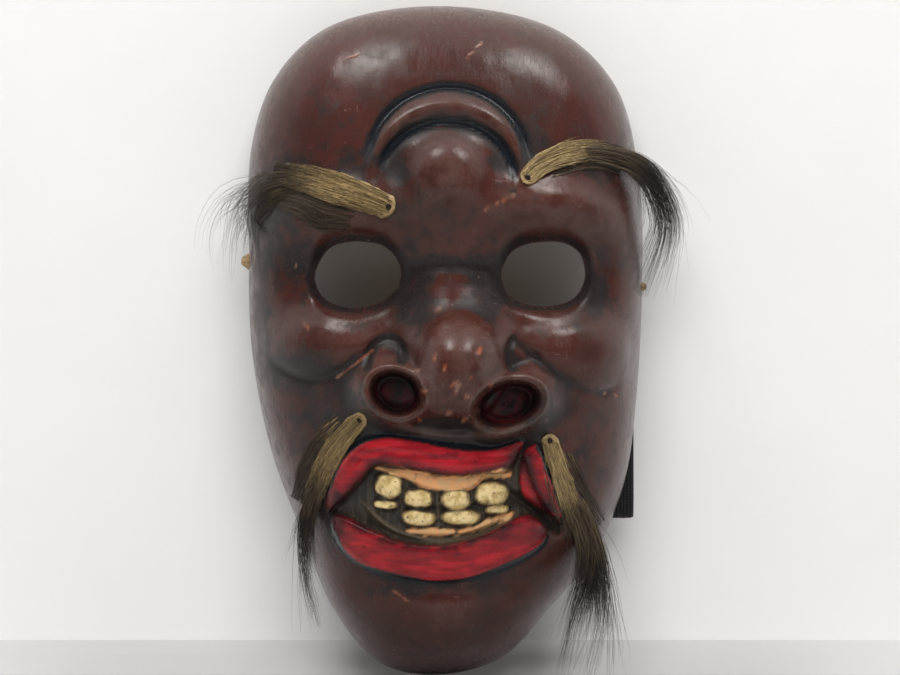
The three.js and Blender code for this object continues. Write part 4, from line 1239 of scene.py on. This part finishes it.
def elastic():
    """Black woven elastic: ribs along the band, each crossed by short threads."""
    n = Finish("elastic")
    along, across = n.mask("along"), n.mask("across")
    rib = n.math("SINE", n.times(across, math.tau / RIB_SPACING))
    pick = n.math("SINE", n.math("ADD", n.times(along, math.tau / PICK_SPACING), n.times(rib, 1.4)))
    weave = n.math("MULTIPLY_ADD", rib, 0.6, n.times(pick, 0.4))
    lint = n.noise(0.35, 3, 0.7)
    colour = n.mix(n.span(weave, -0.6, 0.8), (0.007, 0.007, 0.008), (0.026, 0.026, 0.029))
    colour = n.mix(n.span(lint, 0.6, 0.8, 0, 0.5), colour, (0.07, 0.07, 0.072))
    return n.finish(colour, 0.82, n.bump(weave, 0.22), Sheen_Weight=0.15, Specular_IOR_Level=0.25)


# ---- Build the object ----
materials = {
    "painted_wood": painted_wood(), "goat_hide": goat_hide(), "goat_hair": goat_hair(), "iron_nail": iron(),
    "peg_wood": peg_wood(), "elastic": elastic(),
}


def place_piece(made, node, slot, body="mask"):
    made.data.materials.clear()
    made.data.materials.append(materials[slot])
    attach(made, body)
    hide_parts(node)


shell = make_shell()
shell.name = "carved_shell"
place_piece(shell, "mask_shell", "painted_wood")

FUR = {"brow_hide_left": 900, "brow_hide_right": 800, "moustache_hide_left": 700, "moustache_hide_right": 700}
# Dark hair that has worked loose and lies on the face beside a strip, made darker still as painted shade under the
# strip; lanes count in half widths of it.
UNDER_FUR = {
    "brow_hide_left": {"count": 420, "lift": 0.5, "lanes": (0.7, 2.7), "longest": 22, "darker": 0.7},
    "brow_hide_right": {"count": 160, "lift": 0.5, "lanes": (-1.6, -0.6), "longest": 16, "darker": 0.6},
    "moustache_hide_left": {"count": 150, "lift": 0.5, "lanes": (-2.2, -0.6), "longest": 18, "darker": 0.45},
    "moustache_hide_right": {"count": 200, "lift": 0.5, "lanes": (-1.8, 2.2), "longest": 20, "darker": 0.5},
}
for number, (name, fur_count) in enumerate(FUR.items()):
    skin = make_hide(name, SEED + 20 * number)
    fur = make_fur(name, SEED + 50 + number, fur_count, 0.9)
    under_fur = make_fur(name, SEED + 70 + number, **UNDER_FUR[name])
    mesh = build_mesh(name, *join([skin, fur, under_fur]))
    place_piece(add_object(name.replace("hide", "skin"), mesh), name, "goat_hide")
    nail = build_mesh("nail", *make_nail(HIDES[name][0], number))
    place_piece(add_object(name.replace("hide", "nail"), facing_out(nail)), name.replace("hide", "tack"), "iron_nail")

for number, name in enumerate(HAIRS):
    mesh = build_mesh(name, *make_hair(name, SEED + 90 + number))
    place_piece(add_object(name.replace("hair", "locks"), mesh), name, "goat_hair")

strap, strap_length = make_strap()
place_piece(strap, "elastic_strap", "elastic", "strap")

for side in ("strap_peg_left", "strap_peg_right"):
    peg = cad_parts[side]
    peg.data.materials.clear()
    peg.data.materials.append(materials["peg_wood"])

# ---- Stage, light and camera ----
FLOOR_Z = -114.5
WALL_TOP_GAP = 1.5  # behind the rim, level with the mask's top
WALL_DROP = 227.0  # from there to the wall's foot
WALL_LEAN = 0.13
FOOT_RISE = 9.0
STAGE_HALF = 1500.0
STAGE_COLUMNS = 5
# Lights, in metres and watts
PANEL = {"target": (0, -0.03, 0.02), "size": (0.2, 0.34), "power": 4.4, "colour": (1, 0.985, 0.955)}
FRONT_FILL = {"place": (0.0, -1.35, 0.95), "size": (1.2, 0.9), "power": 22}
BACK_FILL = {"place": (0.25, 0.9, 0.5), "size": (0.8, 0.8), "power": 1.2}
ROOM_GLOW = 0.10  # strength of the room's light
ROOM_SEEN = 0.72  # and how bright the room looks past the backdrop


def stage_material(name, colour, see_through):
    n = Finish(name)
    speckle = n.noise(60, 5, 0.6)
    tone = n.mix(n.span(speckle, 0.3, 0.7), colour, tuple(c * 0.98 for c in colour))
    n.finish(tone, 0.9, n.bump(n.noise(5, 4), 0.03))
    if see_through:
        # From behind, and for light from behind, the wall isn't there
        clear = n.new("ShaderNodeBsdfTransparent")
        swap = n.new("ShaderNodeMixShader")
        back = n.new("ShaderNodeNewGeometry").outputs["Backfacing"]
        shadow = n.new("ShaderNodeLightPath").outputs["Is Shadow Ray"]
        n.link(n.math("MAXIMUM", back, shadow), swap.inputs[0])
        n.link(n.shader.outputs[0], swap.inputs[1])
        n.link(clear.outputs[0], swap.inputs[2])
        n.link(swap.outputs[0], n.output.inputs["Surface"])
    return n.material


def make_stage():
    wall_foot_y = WALL_TOP_GAP + WALL_LEAN * WALL_DROP
    foot_z = FLOOR_Z + FOOT_RISE
    across = np.linspace(-STAGE_HALF, STAGE_HALF, STAGE_COLUMNS)
    flat = [(x, y, FLOOR_Z) for y in (-STAGE_HALF, 0, STAGE_HALF) for x in across]
    floor = add_object("floor", build_mesh("floor", flat, grid_quads(3, STAGE_COLUMNS)))
    floor.data.materials.append(stage_material("pale_floor", (0.50, 0.495, 0.485), False))
    # The backdrop leans a little and meets the floor in a low slope
    profile = [(5, FLOOR_Z + 0.2), (wall_foot_y * 0.7, FLOOR_Z + 5), (wall_foot_y, foot_z)]
    profile.append((wall_foot_y - WALL_LEAN * (STAGE_HALF - foot_z), STAGE_HALF))
    points = [(x, y, z) for y, z in profile for x in across]
    wall = add_object("backdrop", build_mesh("backdrop", points, grid_quads(len(profile), STAGE_COLUMNS)))
    wall.data.polygons.foreach_set("use_smooth", np.zeros(len(wall.data.polygons), bool))
    wall.data.materials.append(stage_material("pale_wall", (0.95, 0.945, 0.93), True))
    wall.data.materials.append(stage_material("pale_foot", (0.56, 0.555, 0.545), True))
    foot_faces = 2 * (STAGE_COLUMNS - 1)
    slots = np.zeros(len(wall.data.polygons), np.int32)
    slots[:foot_faces] = 1
    wall.data.polygons.foreach_set("material_index", slots)


def area_light(name, place, size, power, target=(0, 0, 0), colour=(1, 1, 1)):
    light = bpy.data.lights.new(name, "AREA")
    light.shape = "RECTANGLE"
    light.size, light.size_y = size
    light.energy = power
    light.color = colour
    made = add_object(name, light)
    made.location = place
    made.rotation_euler = (Vector(target) - Vector(place)).to_track_quat("-Z", "Y").to_euler()
    return made


make_stage()
area_light("panel_left", (-0.36, -0.26, 1.12), **PANEL)
area_light("panel_right", (0.44, -0.24, 1.12), **PANEL)
fill = area_light("front_fill", **FRONT_FILL)
fill.visible_glossy = False
area_light("back_fill", **BACK_FILL)

world = bpy.data.worlds.new("room")
world.use_nodes = True
background = world.node_tree.nodes["Background"]
background.inputs["Color"].default_value = (0.93, 0.95, 1.0, 1)
seen = world.node_tree.nodes.new("ShaderNodeLightPath").outputs["Is Camera Ray"]
glow = world.node_tree.nodes.new("ShaderNodeMapRange")
glow.inputs["To Min"].default_value = ROOM_GLOW
glow.inputs["To Max"].default_value = ROOM_SEEN
world.node_tree.links.new(seen, glow.inputs["Value"])
world.node_tree.links.new(glow.outputs["Result"], background.inputs["Strength"])
scene = bpy.context.scene
scene.world = world
scene.view_settings.view_transform = "Standard"

camera_data = bpy.data.cameras.new("camera")
camera_data.sensor_width = 36
camera_data.lens = 105.9
camera_data.dof.use_dof = False
camera = add_object("camera", camera_data)
camera.location = (0.00204, -0.9, 0.00085)
camera.rotation_euler = (math.pi / 2, 0, 0)
scene.camera = camera
